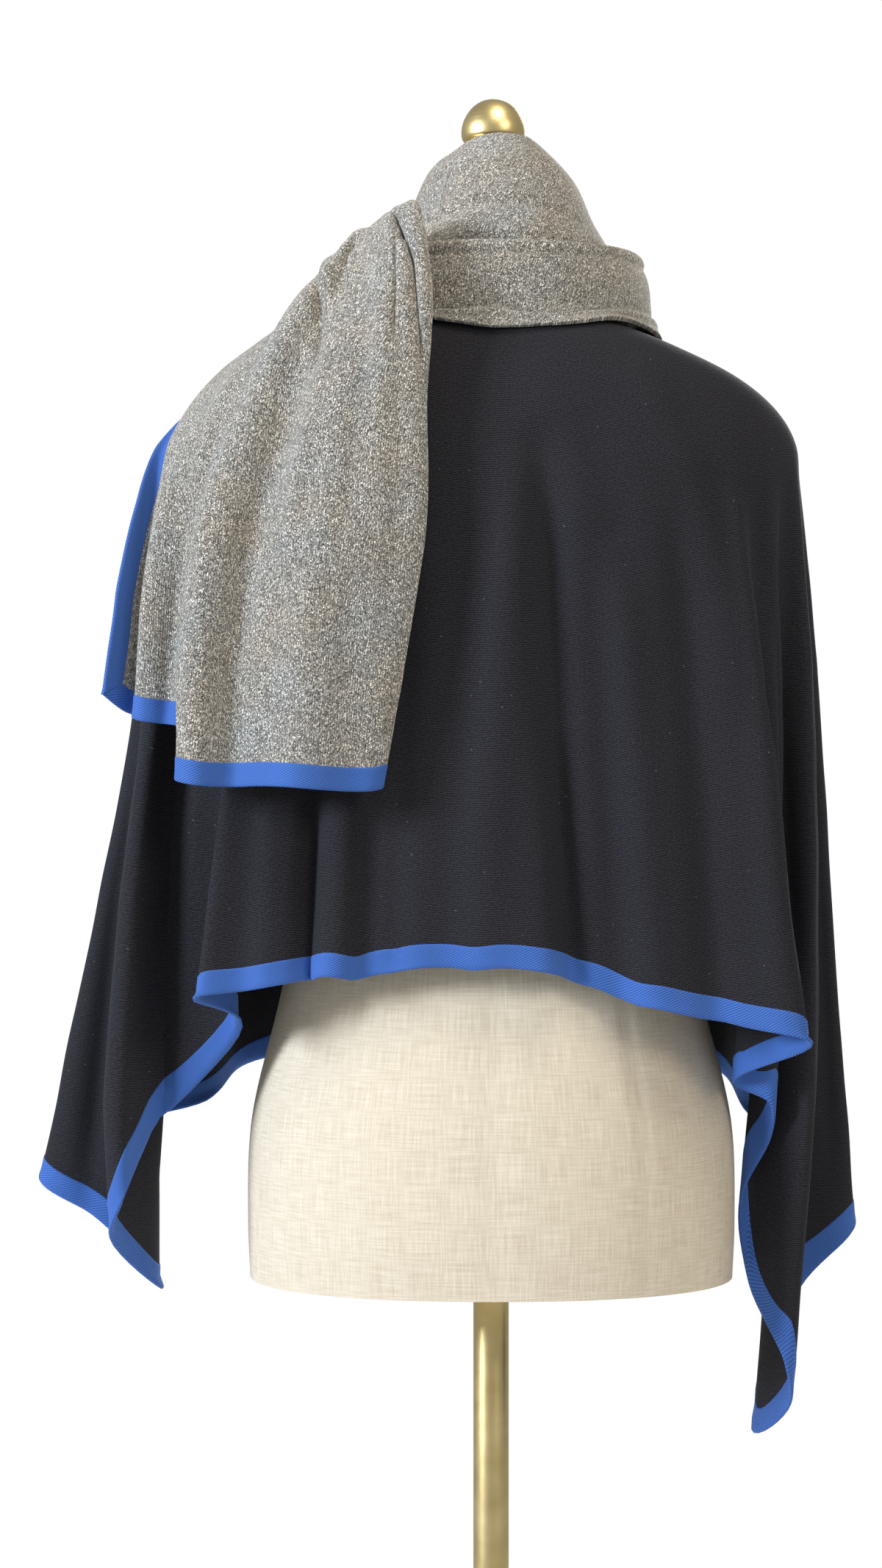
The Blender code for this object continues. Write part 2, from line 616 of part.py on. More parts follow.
def hung_panel(sheet, per_fold, material, collection, side_taped):
    """The knit of a hung sheet above its tape."""
    end = len(SHEETS[sheet][1]) - 1.0
    columns = [i / per_fold for i in range(int(end) * per_fold + 1)]
    width = TAPE_WIDTH + SEAM_GAP
    grid = []
    for r in range(SHEET_ROWS + 1):
        row = []
        for s in columns:
            at = beside_tape(sheet, s, 1.0, width) if side_taped else s
            down = tape_start(sheet, at, width) * r / SHEET_ROWS
            if side_taped:
                at = beside_tape(sheet, s, down, width)
            row.append(sheet_surface(sheet, at, down))
        grid.append(row)
    return wall(sheet, grid, KNIT_WALL, material, collection)


def tail_tape(material, collection):
    """The tape along the hem of the tail."""
    columns = [i / 2 for i in range((len(TAIL_FOLDS) - 1) * 2 + 1)]
    inner = [sheet_surface("shawl_tail", s, tape_start("shawl_tail", s, TAPE_WIDTH)) for s in columns]
    outer = [sheet_surface("shawl_tail", s, 1.0) for s in columns]
    return wall("tail_binding", [inner, outer], TAPE_WALL, material, collection)


def drape_tape(material, collection):
    """The tape along the hem of the drape, round its corner and up its outer edge."""
    sheet = "shawl_drape"
    end = len(DRAPE_FOLDS) - 1.0
    outer, inner = [], []
    for i in range(int(end) * 2 + 1):
        s = i / 2
        at = beside_tape(sheet, s, 1.0, TAPE_WIDTH)
        start_at = tape_start(sheet, at, TAPE_WIDTH)
        outer.append(sheet_surface(sheet, s, 1.0))
        inner.append(sheet_surface(sheet, beside_tape(sheet, s, start_at, TAPE_WIDTH), start_at))
    width = TAPE_WIDTH + SEAM_GAP
    reach = tape_start(sheet, beside_tape(sheet, end, 1.0, width), width)
    for r in range(SHEET_ROWS - 1, -1, -1):
        down = reach * r / SHEET_ROWS
        outer.append(sheet_surface(sheet, end, down))
        inner.append(sheet_surface(sheet, beside_tape(sheet, end, down, TAPE_WIDTH), down))
    return wall("drape_binding", [inner, outer], TAPE_WALL, material, collection)


# ---------------------------------------------------------------- the dress form

def torso(material, collection):
    """The limbless torso: it follows the inside of the yoke, then narrows to its own waist and hips."""
    angles = [360 * c / TORSO_COLUMNS for c in range(TORSO_COLUMNS)]
    rings = [[Vector((r * math.cos(math.radians(a)), r * math.sin(math.radians(a)), z)) for a in angles]
             for r, z in NECK_RINGS]
    under = KNIT_WALL / 2 + SEAT_LIFT
    for row in range(YOKE_SHARED_ROWS):
        share = row / YOKE_ROWS
        rings.append([yoke_point(a, share) - yoke_normal(a, share) * under for a in angles])
    for _, wide, deep, z in TORSO_RINGS:
        rings.append([Vector((*squircle(a, (wide, deep), TORSO_POWER), z)) for a in angles])
    return loft("form_torso", rings, material, collection)


def stand(brass, iron, collection):
    """Neck cap, finial, pole and weighted base."""
    turned("form_neck_cap", CAP_PROFILE, AXIS_X, 24, brass, collection)
    turned("form_finial", FINIAL_PROFILE, AXIS_X, 20, brass, collection)
    pole_top = TORSO_RINGS[-1][3] - REST_GAP
    pole = [(0.0, pole_top), (POLE_RADIUS, pole_top), (POLE_RADIUS, HUB_HEIGHT + REST_GAP),
            (0.0, HUB_HEIGHT + REST_GAP)]
    turned("form_pole", pole, 0.0, 16, brass, collection)
    base = [(0.0, HUB_HEIGHT), (HUB_RADIUS * 0.7, HUB_HEIGHT), (HUB_RADIUS, BASE_HEIGHT + 0.008),
            (HUB_RADIUS * 1.6, BASE_HEIGHT + 0.001), (BASE_RADIUS - 0.006, BASE_HEIGHT - 0.003),
            (BASE_RADIUS, BASE_HEIGHT - 0.008), (BASE_RADIUS, 0.002), (BASE_RADIUS - 0.002, 0.0), (0.0, 0.0)]
    turned("form_base", base, 0.0, 32, iron, collection)


def main():
    collection = start()
    navy = finish_of("navy_knit", (0.012, 0.013, 0.018), 0.9)
    grey = finish_of("grey_melange_knit", (0.21, 0.205, 0.195), 0.95)
    blue = finish_of("blue_knit_tape", (0.035, 0.105, 0.42), 0.85)
    linen = finish_of("linen_cover", (0.60, 0.55, 0.47), 0.9)
    brass = finish_of("polished_brass", (0.62, 0.47, 0.20), 0.22, 1.0)
    iron = finish_of("black_painted_iron", (0.02, 0.02, 0.02), 0.5)

    cape_panel("cape_left_front", 0.0, LEFT_SEAM, navy, collection, taped_left=True)
    cape_panel("cape_back", LEFT_SEAM, RIGHT_SEAM, navy, collection)
    cape_panel("cape_right_front", RIGHT_SEAM, LAST_LINE, navy, collection, taped_right=True)
    cape_tape(blue, collection)

    ring_wall("neck_funnel", funnel_line, FUNNEL_COLUMNS, FUNNEL_ROWS, KNIT_WALL, grey, collection)
    ring_wall("neck_band", band_line, BAND_COLUMNS, len(BAND_RINGS), BAND_WALL, grey, collection)
    hung_panel("shawl_tail", 2, grey, collection, side_taped=False)
    tail_tape(blue, collection)
    hung_panel("shawl_drape", 2, grey, collection, side_taped=True)
    drape_tape(blue, collection)

    torso(linen, collection)
    stand(brass, iron, collection)


main()
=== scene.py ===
import math

import bpy
import numpy as np
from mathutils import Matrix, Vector, noise


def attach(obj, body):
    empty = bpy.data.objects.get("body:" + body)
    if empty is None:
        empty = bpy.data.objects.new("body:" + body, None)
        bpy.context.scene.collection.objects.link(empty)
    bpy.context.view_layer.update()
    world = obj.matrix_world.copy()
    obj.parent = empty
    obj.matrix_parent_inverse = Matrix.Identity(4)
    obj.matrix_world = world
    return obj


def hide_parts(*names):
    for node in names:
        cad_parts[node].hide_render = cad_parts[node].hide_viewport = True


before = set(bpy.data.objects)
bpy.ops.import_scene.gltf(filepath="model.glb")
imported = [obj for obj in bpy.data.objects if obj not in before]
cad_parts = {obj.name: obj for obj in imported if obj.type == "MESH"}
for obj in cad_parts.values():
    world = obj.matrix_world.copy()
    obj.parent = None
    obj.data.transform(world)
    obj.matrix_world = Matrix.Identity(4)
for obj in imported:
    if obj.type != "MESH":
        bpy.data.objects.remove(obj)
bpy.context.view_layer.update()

# ---- Cape
# A wide wrap of fine merino jersey: one panel down the back and one over each front, joined over the
# arms. It sits on the shoulders, then falls free in flutes. The panels are cut from one draped surface.
CM, MM = 0.01, 0.001
KNIT_WALL = 0.0022
# the shoulders in plan: half width and half depth of the neck edge and of the girth line
neck_half = (0.088, 0.078)
girth_half, girth_power = (0.216, 0.125), 2.6
crest_inset = 0.985
# heights at the back, the right arm and the left arm
neck_height = (1.447, 1.434, 1.440)
crest_height = (1.425, 1.396, 1.400)
girth_height = (1.300, 1.342, 1.342)
fall_power = 0.85       # under 1, so that the flutes spread early in the fall

# fold lines: angle round the shoulders, hem x, y and z in cm, and how far the fall bellies out in cm;
# 0 degrees is the right arm, 90 the front
left_front = [
    (91.4, -2.4, 15, 94.5, 0), (99, -6, 14.6, 94, 0), (109, -10, 16.6, 93, 0),
    (122, -13.6, 13.2, 91.8, 0), (134, -18.8, 16, 90, 0), (146, -21, 11, 88, 0),
    (158, -27.6, 11.6, 86, 0), (169, -27, 6.6, 84.6, -0.3)]
left_side = [
    (178, -32.2, 4.6, 83.5, -0.7), (182, -32, 2.6, 82.8, -0.7), (187, -28, 2.2, 80.4, -0.1),
    (194, -23.4, 1.8, 75.6, 0.4), (202, -26.4, -4.8, 80.2, 1.6), (208, -25.4, -6.9, 82.8, 1.5),
    (214, -23.4, -5, 87.4, 1.2), (222, -17.1, -6.8, 95, 0.4), (231, -20, -12.2, 97.3, 0)]
back = [
    (239, -16.7, -11.6, 97.8, 0), (246, -13.9, -12.1, 98.3, 0), (251, -11.7, -12.6, 98.8, 0),
    (257, -9.1, -11.4, 98.6, 0), (261, -6.7, -12.4, 99.2, 0), (268, -1.6, -11.8, 99.4, 0),
    (274, 3, -13, 99.2, 0), (278, 5.8, -12.3, 98.5, 0), (283, 8.5, -11.1, 97.2, 0),
    (290, 11.9, -12.2, 96.4, 0), (300, 16.1, -11.6, 95.5, 0)]
right_side = [
    (312, 21.1, -12.2, 94.3, 0), (317, 16.9, -6.5, 91.6, 0.4), (321, 16.8, -4.6, 90.7, 0.4),
    (325, 19.1, -5.4, 89.6, 0.6), (328, 19.4, -4, 87.2, 0.6), (332, 17.5, -1.9, 82.4, 0.6),
    (336, 18.1, -0.8, 76.4, 0.8), (341, 20.3, -4.1, 71.4, 1.7), (345, 20.9, -2.4, 68.2, 1.6),
    (350, 18.8, 3, 65.2, 0.8), (355, 22.3, 3.8, 75.2, 0.4), (359, 26, 3.4, 79.4, 0),
    (363, 25.9, 5.6, 80.4, 0)]
right_front = [
    (371, 22.4, 7.8, 82.4, 0), (382, 24.4, 12.4, 84.6, 0), (394, 19.4, 11.6, 87, 0),
    (406, 18, 16.2, 89.4, 0), (418, 13.2, 13.4, 91.6, 0), (431, 9.8, 16.4, 93, 0),
    (441, 6, 14.6, 94, 0), (448.6, 2.4, 15, 94.5, 0)]
fold_lines = left_front + left_side + back + right_side + right_front
left_seam = len(left_front) - 0.5
right_seam = len(fold_lines) - len(right_front) - 0.5
columns_per_fold = 8


def curve_at(points, place):
    """The point, or row of points, at a place along a centripetal Catmull-Rom curve."""
    i = min(max(int(place), 0), len(points) - 2)
    b, c = points[i], points[i + 1]
    a = points[i - 1] if i else 2 * b - c
    d = points[i + 2] if i + 2 < len(points) else 2 * c - b
    step = [np.maximum(np.linalg.norm(q - p, axis=-1, keepdims=True), 1e-6) ** 0.5
            for p, q in ((a, b), (b, c), (c, d))]
    tb, tc, td = step[0], step[0] + step[1], step[0] + step[1] + step[2]
    t = tb + (tc - tb) * (place - i)
    ab = a + (b - a) * t / tb
    bc = b + (c - b) * (t - tb) / (tc - tb)
    cd = c + (d - c) * (t - tc) / (td - tc)
    abc, bcd = ab + (bc - ab) * t / tc, bc + (cd - bc) * (t - tb) / (td - tb)
    return abc + (bcd - abc) * (t - tb) / (tc - tb)


def curve_through(points, per_span):
    """Points along the whole of such a curve, so many to a span."""
    return [curve_at(points, k / per_span) for k in range((len(points) - 1) * per_span + 1)]


def unit(vectors):
    """Vectors brought to a length of one."""
    return vectors / np.maximum(np.linalg.norm(vectors, axis=-1, keepdims=True), 1e-9)


def oval(degrees, half, power=2.0):
    """A point on a superellipse, in plan."""
    c, s = math.cos(math.radians(degrees)), math.sin(math.radians(degrees))
    return np.array((math.copysign(abs(c) ** (2 / power), c) * half[0],
                     math.copysign(abs(s) ** (2 / power), s) * half[1]))


def yoke(degrees, share):
    """Points on the shoulders between the neck edge (0) and the girth line (1)."""
    side = math.cos(math.radians(degrees))
    arm = 1 if side > 0 else 2

    def ring(plan, heights, turn):
        return np.append(plan, heights[0] + (heights[arm] - heights[0]) * abs(side) ** turn)

    plan = oval(degrees, girth_half, girth_power)
    neck = ring(oval(degrees, neck_half), neck_height, 1.5)
    girth = ring(plan, girth_height, 2)
    crest = ring(plan * crest_inset, crest_height, 2)
    share = np.atleast_1d(share)[:, None]
    return neck * (1 - share) ** 2 + crest * 2 * share * (1 - share) + girth * share ** 2


def fold_line(line, t):
    """One fold line: 0 to 1 over the shoulder, 1 to 2 down the fall."""
    degrees, x, y, z, belly = line
    top = yoke(degrees, 1.0)[0]
    hem = np.array((x, y, z)) * CM
    fall = np.clip(t - 1.0, 0.0, 1.0)
    spread = fall ** fall_power
    # fall * (1 - fall) is a quarter at its most, halfway down
    out = np.append(hem[:2] / np.hypot(*hem[:2]), 0.0) * belly * CM * 4
    fallen = np.stack([top[0] + (hem[0] - top[0]) * spread, top[1] + (hem[1] - top[1]) * spread,
                       top[2] + (hem[2] - top[2]) * fall], axis=1) + out * (fall * (1 - fall))[:, None]
    return np.where((t <= 1.0)[:, None], yoke(degrees, np.minimum(t, 1.0)), fallen)


def relaxed(points, rounds, closed=False):
    """Rows of points eased towards their neighbours. A sheet's hem stays where it is."""
    points, hem = points.copy(), points[-1].copy()
    for _ in range(rounds):
        down = points.copy()
        down[1:-1] = (points[:-2] + 2 * points[1:-1] + points[2:]) / 4
        if closed:
            body = down[:, :-1]
            body = (np.roll(body, 1, axis=1) + 2 * body + np.roll(body, -1, axis=1)) / 4
            points = np.concatenate([body, body[:, :1]], axis=1)
        else:
            points = down.copy()
            points[:, 1:-1] = (down[:, :-2] + 2 * down[:, 1:-1] + down[:, 2:]) / 4
    if not closed:
        points[-1] = hem
    return points


def facing(points, closed=False):
    """The outward normal at each point of rows that run down, with columns to the right."""
    along = np.gradient(points, axis=1)
    if closed:
        along[:, 0] = along[:, -1] = points[:, 1] - points[:, -2]
    return unit(np.cross(along, -np.gradient(points, axis=0)))


def creased(points, creases, side=-1, closed=False):
    """Soft troughs and ridges on the side of the cloth that faces -Y or +Y.

    Each is a path of x and z in cm, a width in mm and a rise in mm, below 0 in a trough. It dies away
    over its first and last fifth, and where the cloth turns from that side.
    """
    normal = facing(points, closed)
    shown = np.clip(normal[..., 1] * side * 2.5 + 0.4, 0.0, 1.0)
    lift = np.zeros(points.shape[:2])
    flat = points[..., [0, 2]]
    for path, width, rise in creases:
        path = np.array(path, dtype=float) * CM
        lengths = np.linalg.norm(np.diff(path, axis=0), axis=1)
        total, run = lengths.sum(), 0.0
        nearest = np.full(points.shape[:2], 1e3)
        place = np.zeros(points.shape[:2])
        for a, b, length in zip(path, path[1:], lengths):
            f = np.clip(((flat - a) @ (b - a)) / length ** 2, 0.0, 1.0)
            away = np.linalg.norm(flat - (a + f[..., None] * (b - a)), axis=-1)
            closer = away < nearest
            nearest = np.where(closer, away, nearest)
            place = np.where(closer, (run + f * length) / total, place)
            run += length
        fade = np.clip(np.minimum(place, 1 - place) * 5, 0.0, 1.0) ** 0.7
        lift += rise * MM * fade * np.exp(-(nearest / (width * MM)) ** 2)
    return points + normal * (lift * shown)[..., None]


def uneven(points, size, rise):
    """The small swells of cloth that has been worn: size and rise in metres."""
    normal = facing(points)
    flat = points.reshape(-1, 3)
    swell = np.array([noise.noise(Vector(p / size)) for p in flat]).reshape(points.shape[:2])
    return points + normal * (swell * rise)[..., None]


def measured(points):
    """Distances along each row and down each column, in metres."""
    across = np.linalg.norm(np.diff(points, axis=1), axis=-1)
    down = np.linalg.norm(np.diff(points, axis=0), axis=-1)
    u = np.concatenate([np.zeros((len(points), 1)), np.cumsum(across, axis=1)], axis=1)
    v = np.concatenate([np.zeros((1, points.shape[1])), np.cumsum(down, axis=0)], axis=0)
    return np.stack([u - u.mean(axis=1, keepdims=True), v], axis=-1)


WELD = 0.00002      # points nearer than this are one


def softened(piece, width, degrees):
    """Rounds the edges that are sharper than an angle."""
    soft = piece.modifiers.new("soft", "BEVEL")
    soft.width, soft.segments = width, 2
    soft.limit_method, soft.angle_limit = "ANGLE", math.radians(degrees)
    bpy.ops.object.modifier_apply(modifier="soft")


def cloth(name, points, finish, wall, node, uv=None, closed=False, lip=0.0):
    """A sheet from a grid laid over rows of points, walled to both sides, its UV map in metres."""
    rows, columns = points.shape[:2]
    uv = measured(points) if uv is None else uv
    bpy.ops.object.select_all(action="DESELECT")
    bpy.ops.mesh.primitive_grid_add(x_subdivisions=columns - 1, y_subdivisions=rows - 1, size=1.0)
    piece = bpy.context.object
    piece.name = piece.data.name = name
    mesh = piece.data
    flat = np.empty(len(mesh.vertices) * 3)
    mesh.vertices.foreach_get("co", flat)
    flat = flat.reshape(-1, 3)
    column = np.rint((flat[:, 0] + 0.5) * (columns - 1)).astype(int)
    row = np.rint((0.5 - flat[:, 1]) * (rows - 1)).astype(int)
    mesh.vertices.foreach_set("co", points[row, column].ravel())
    corner = np.empty(len(mesh.loops), dtype=np.int32)
    mesh.loops.foreach_get("vertex_index", corner)
    mesh.uv_layers[0].uv.foreach_set("vector", uv[row[corner], column[corner]].ravel())
    mesh.update()
    if closed:
        bpy.ops.object.mode_set(mode="EDIT")
        bpy.ops.mesh.select_all(action="SELECT")
        bpy.ops.mesh.remove_doubles(threshold=WELD)
        bpy.ops.object.mode_set(mode="OBJECT")
    if wall:
        solid = piece.modifiers.new("wall", "SOLIDIFY")
        solid.thickness, solid.offset, solid.use_even_offset = wall, 0.0, False
        bpy.ops.object.modifier_apply(modifier="wall")
    if lip:
        softened(piece, lip, 55)
    bpy.ops.object.shade_smooth_by_angle(angle=math.radians(50))
    mesh.materials.append(finish)
    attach(piece, "root")
    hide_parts(node)
    return piece


def linear(code):
    """A colour written in sRGB hex, made linear for the shader."""
    parts = [int(code[i:i + 2], 16) / 255 for i in (1, 3, 5)]
    return (*[c / 12.92 if c <= 0.04045 else ((c + 0.055) / 1.055) ** 2.4 for c in parts], 1.0)


def feed(tree, node, sockets):
    """Sets a node's inputs, each from a value, an output or another node's first output."""
    for socket, value in dict(sockets).items():
        if isinstance(value, bpy.types.Node):
            value = value.outputs[0]
        if isinstance(value, bpy.types.NodeSocket):
            tree.links.new(value, node.inputs[socket])
        else:
            node.inputs[socket].default_value = value


def add(tree, kind, sockets=(), **settings):
    """Adds a node with its settings and what its inputs take."""
    node = tree.nodes.new("ShaderNode" + kind)
    for name, value in settings.items():
        setattr(node, name, value)
    feed(tree, node, sockets)
    return node


def finish_named(name, sockets=()):
    """A material and what is the same all over it; returns it with its tree and shader."""
    finish = bpy.data.materials.new(name)
    finish.use_nodes = True
    shader = finish.node_tree.nodes["Principled BSDF"]
    feed(finish.node_tree, shader, sockets)
    return finish, finish.node_tree, shader


def cloth_finish(name, roughness, sheen, sheen_roughness, tint):
    """A matt fibre finish with the soft rim of light that a nap gives."""
    return finish_named(name, {
        "Roughness": roughness, "Specular IOR Level": 0.25, "Sheen Weight": sheen,
        "Sheen Roughness": sheen_roughness, "Sheen Tint": linear(tint)})


def ribs(tree, along, spacing, wander=None, sway=0.0):
    """Ribs from -1 to 1 along a coordinate, spaced in metres, that sway with wander's noise."""
    phase = add(tree, "Math", {0: along, 1: 2 * math.pi / spacing}, operation="MULTIPLY")
    if sway:
        phase = add(tree, "Math", {0: wander, 1: sway, 2: phase}, operation="MULTIPLY_ADD")
    return add(tree, "Math", {0: phase}, operation="SINE")


# Merino jersey, machine knitted and seen on its purl side: close dark courses that catch the light as
# broken grey dashes, with a few pale fibres caught in them. The real course is 1.1 mm; 1.5 mm shows.
def merino_jersey():
    finish, tree, shader = cloth_finish("merino jersey, navy", 0.9, 0.05, 0.45, "#98a4bc")
    uv = add(tree, "UVMap")
    split = add(tree, "SeparateXYZ", {0: uv})
    wobble = add(tree, "TexNoise", {"Vector": uv, "Scale": 110.0, "Detail": 2.0})
    course = ribs(tree, split.outputs[1], 0.0015, wobble, 9.0)
    dash_at = add(tree, "Mapping", {"Vector": uv, "Scale": (380.0, 900.0, 1.0)})
    dash = add(tree, "TexNoise", {"Vector": dash_at, "Scale": 1.0, "Detail": 1.0})
    height = add(tree, "Math", {0: course, 1: dash}, operation="MULTIPLY")
    grain = add(tree, "TexNoise", {"Vector": uv, "Scale": 700.0, "Detail": 2.0})
    speck = add(tree, "MapRange", {"Value": grain, "From Min": 0.38, "From Max": 0.64,
                                   "To Min": -0.30, "To Max": 0.42})
    stitch = add(tree, "Math", {0: height, 1: speck}, operation="ADD")
    tone = add(tree, "MapRange", {"Value": stitch, "From Min": -0.5, "From Max": 0.62})
    # large, faint clouds of a darker and a paler navy
    cloud = add(tree, "TexNoise", {"Vector": uv, "Scale": 9.0, "Detail": 3.0})
    base = add(tree, "Mix", {0: cloud, 6: linear("#0e0e12"), 7: linear("#151519")}, data_type="RGBA")
    lit = add(tree, "Mix", {0: tone, 6: base.outputs[2], 7: linear("#2d2d34")}, data_type="RGBA")
    # one cell in eight holds a speck of lint, under a millimetre across
    lint = add(tree, "TexVoronoi", {"Vector": uv, "Scale": 150.0})
    fleck = add(tree, "MapRange", {"Value": lint.outputs["Distance"], "From Min": 0.11, "From Max": 0.06})
    pick = add(tree, "SeparateColor", {0: lint.outputs["Color"]})
    rare = add(tree, "Math", {0: pick, 1: 0.88}, operation="GREATER_THAN")
    caught = add(tree, "Math", {0: fleck, 1: rare}, operation="MULTIPLY")
    colour = add(tree, "Mix", {0: caught, 6: lit.outputs[2], 7: linear("#4c4d52")}, data_type="RGBA")
    bump = add(tree, "Bump", {"Height": height, "Strength": 0.35, "Distance": 0.0004})
    feed(tree, shader, {"Base Color": colour.outputs[2], "Normal": bump})
    return finish


jersey = merino_jersey()

# the whole drape first, in fine rows: 44 over the shoulders and 91 more down the fall
fall_rows = np.concatenate([np.linspace(0.0, 1.0, 44), np.linspace(1.0, 2.0, 92)[1:]])
lines = np.stack([fold_line(line, fall_rows) for line in fold_lines])
stations = np.linspace(0, len(fold_lines) - 1, (len(fold_lines) - 1) * columns_per_fold + 1)
drape = np.stack([curve_at(lines, s) for s in stations], axis=1)
drape = relaxed(drape, 5)

# creases on each side: a path of x and z in cm, width and rise in mm
back_creases = [
    ([(-11.2, 124), (-12, 111), (-12.8, 93)], 9, -13),
    ([(-9, 122), (-9.9, 110), (-10.6, 93)], 10, 5),
    ([(-5.6, 126), (-6.4, 111), (-7, 93)], 13, -6),
    ([(1.6, 134), (0.4, 120), (-0.6, 108), (-1, 92)], 20, 9),
    ([(3, 136), (3.6, 124), (4.6, 112), (6.2, 92)], 13, -11),
    ([(4.3, 115), (5.4, 103), (6.6, 91)], 8, -5),
    ([(-12.1, 111), (-12.7, 101), (-13, 91)], 8, -3),
    ([(8, 128), (9.6, 111), (11, 91)], 13, 6.5),
    ([(12, 133), (13.6, 114), (15.4, 90)], 13, -5.5),
    ([(16.2, 131), (17.6, 118), (19.4, 92)], 9, 3.4),
    ([(14.4, 133), (16.4, 126), (17.8, 114)], 9, -3.6),
    ([(18.6, 128), (19.8, 116), (20.8, 98)], 7, -3.6),
    ([(-15, 128), (-14.8, 112), (-15.6, 93)], 10, 4.5),
    ([(-20.4, 123), (-22, 108), (-23, 84)], 8, -9),
    ([(-22.6, 121), (-24.6, 104), (-26.6, 82)], 8, 5),
    ([(-24.8, 116), (-26.6, 104), (-29, 80)], 9, -6),
    ([(22.6, 120), (23.4, 106), (24.6, 82)], 8, -4.5),
    ([(6, 137), (8, 131), (9, 124)], 16, -2),
    ([(9, 140), (12.4, 134), (14.2, 124)], 15, 2.4),
]
front_creases = [
    ([(-4.5, 139), (-6, 120), (-7.6, 96)], 12, -3.2),
    ([(-9.5, 138), (-12, 118), (-15, 94)], 13, 3.4),
    ([(4.8, 139), (6.6, 121), (7.8, 96)], 12, -2.8),
    ([(10.2, 137), (12.6, 117), (15.6, 93)], 13, 3.6),
    ([(-15.2, 134), (-18, 115), (-22, 92)], 11, -5),
    ([(15.4, 134), (17.6, 112), (19.8, 90)], 11, -4.6),
    ([(-8.4, 126), (-9.6, 112), (-10.8, 93)], 8, -3),
    ([(9.4, 124), (10, 110), (11.2, 92)], 9, -3.4),
    ([(-19.4, 124), (-22.6, 106), (-25.4, 88)], 9, 3.6),
    ([(19.8, 126), (21.6, 108), (22.8, 88)], 9, 3.2),
]
drape = creased(drape, back_creases, -1)
drape = creased(drape, front_creases, 1)
# worn swells about 5 cm across and 1 mm high, and larger ones of 13 cm and 2 mm
drape = uneven(uneven(drape, 0.055, 0.0010), 0.13, 0.0020)
drape_uv = measured(drape)
drape_facing = facing(drape)


def held_in(points):
    """A panel with its hem drawn up to 3 mm in, so that its raw edge lies inside the binding."""
    points = points.copy()
    up = points[-2] - points[-1]
    height = np.linalg.norm(up, axis=1, keepdims=True)
    points[-1] += up / height * np.minimum(0.003, 0.8 * height)
    return points


left_cut, right_cut = round(left_seam * columns_per_fold), round(right_seam * columns_per_fold)
# the joins over the arms are linked flat: a faint trough, 0.4 mm deep
for cut in (left_cut, right_cut):
    drape[:, cut] -= drape_facing[:, cut] * 0.0004
tucked = held_in(drape)
left_part, back_part = slice(1, left_cut + 1), slice(left_cut, right_cut + 1)
right_part = slice(right_cut, -1)
left_panel = cloth("cape_left_front", tucked[:, left_part], jersey, KNIT_WALL, "cape_left_front",
                   uv=drape_uv[:, left_part])
back_panel = cloth("cape_back", tucked[:, back_part], jersey, KNIT_WALL, "cape_back",
                   uv=drape_uv[:, back_part])
right_panel = cloth("cape_right_front", tucked[:, right_part], jersey, KNIT_WALL, "cape_right_front",
                    uv=drape_uv[:, right_part])

# ---- Hem binding
# One strip of blue milano knit, folded over the raw edge of the whole cape: down the left front, round
# the hem and up the right front. It is 16 mm wide on each face and mitred at the two front corners.
TAPE_WIDTH = 0.016
# half the folded strip's thickness, by how far in from its fold: it swells where it is stitched
tape_steps = np.array([0.0, 0.25, 0.8, 1.8, 3.5, 6.0, 9.0, 12.0, 14.2, 15.3, 15.8, 16.0]) * MM
tape_half = np.array([0.15, 0.85, 1.25, 1.48, 1.55, 1.50, 1.48, 1.52, 1.62, 1.55, 1.35, 0.95]) * MM


def run_along(points):
    """How far each point of a row is from its first, along the row."""
    return np.concatenate([[0.0], np.cumsum(np.linalg.norm(np.diff(points, axis=0), axis=1))])


def inward(points, normals, distance):
    """The points and normals at distances in from an edge, along a row of points that starts there."""
    run = run_along(points)
    at = np.stack([np.interp(distance, run, points[:, k]) for k in range(3)], axis=1)
    out = np.stack([np.interp(distance, run, normals[:, k]) for k in range(3)], axis=1)
    return at, unit(out)


def folded_tape(name, stations, finish, node):
    """A closed strip folded over an edge, from the cloth's points and normals at stations along it."""
    rings = []
    for k, (at, out) in enumerate([stations[0], *stations, stations[-1]]):
        # the first and the last ring have no thickness, which closes the ends
        half = tape_half[:, None] * (0.0 if k in (0, len(stations) + 1) else 1.0)
        rings.append(np.concatenate([(at - out * half)[::-1], at + out * half]))
    rings = np.stack(rings)
    rings = np.concatenate([rings, rings[:, :1]], axis=1)
    run = run_along(rings[:, len(tape_steps)])
    girth = np.concatenate([-tape_steps[::-1], tape_steps, [TAPE_WIDTH + 0.002]])
    uv = np.stack(np.broadcast_arrays(run[:, None], girth[None, :]), axis=-1)
    return cloth(name, rings, finish, 0.0, node, uv=uv, closed=True)


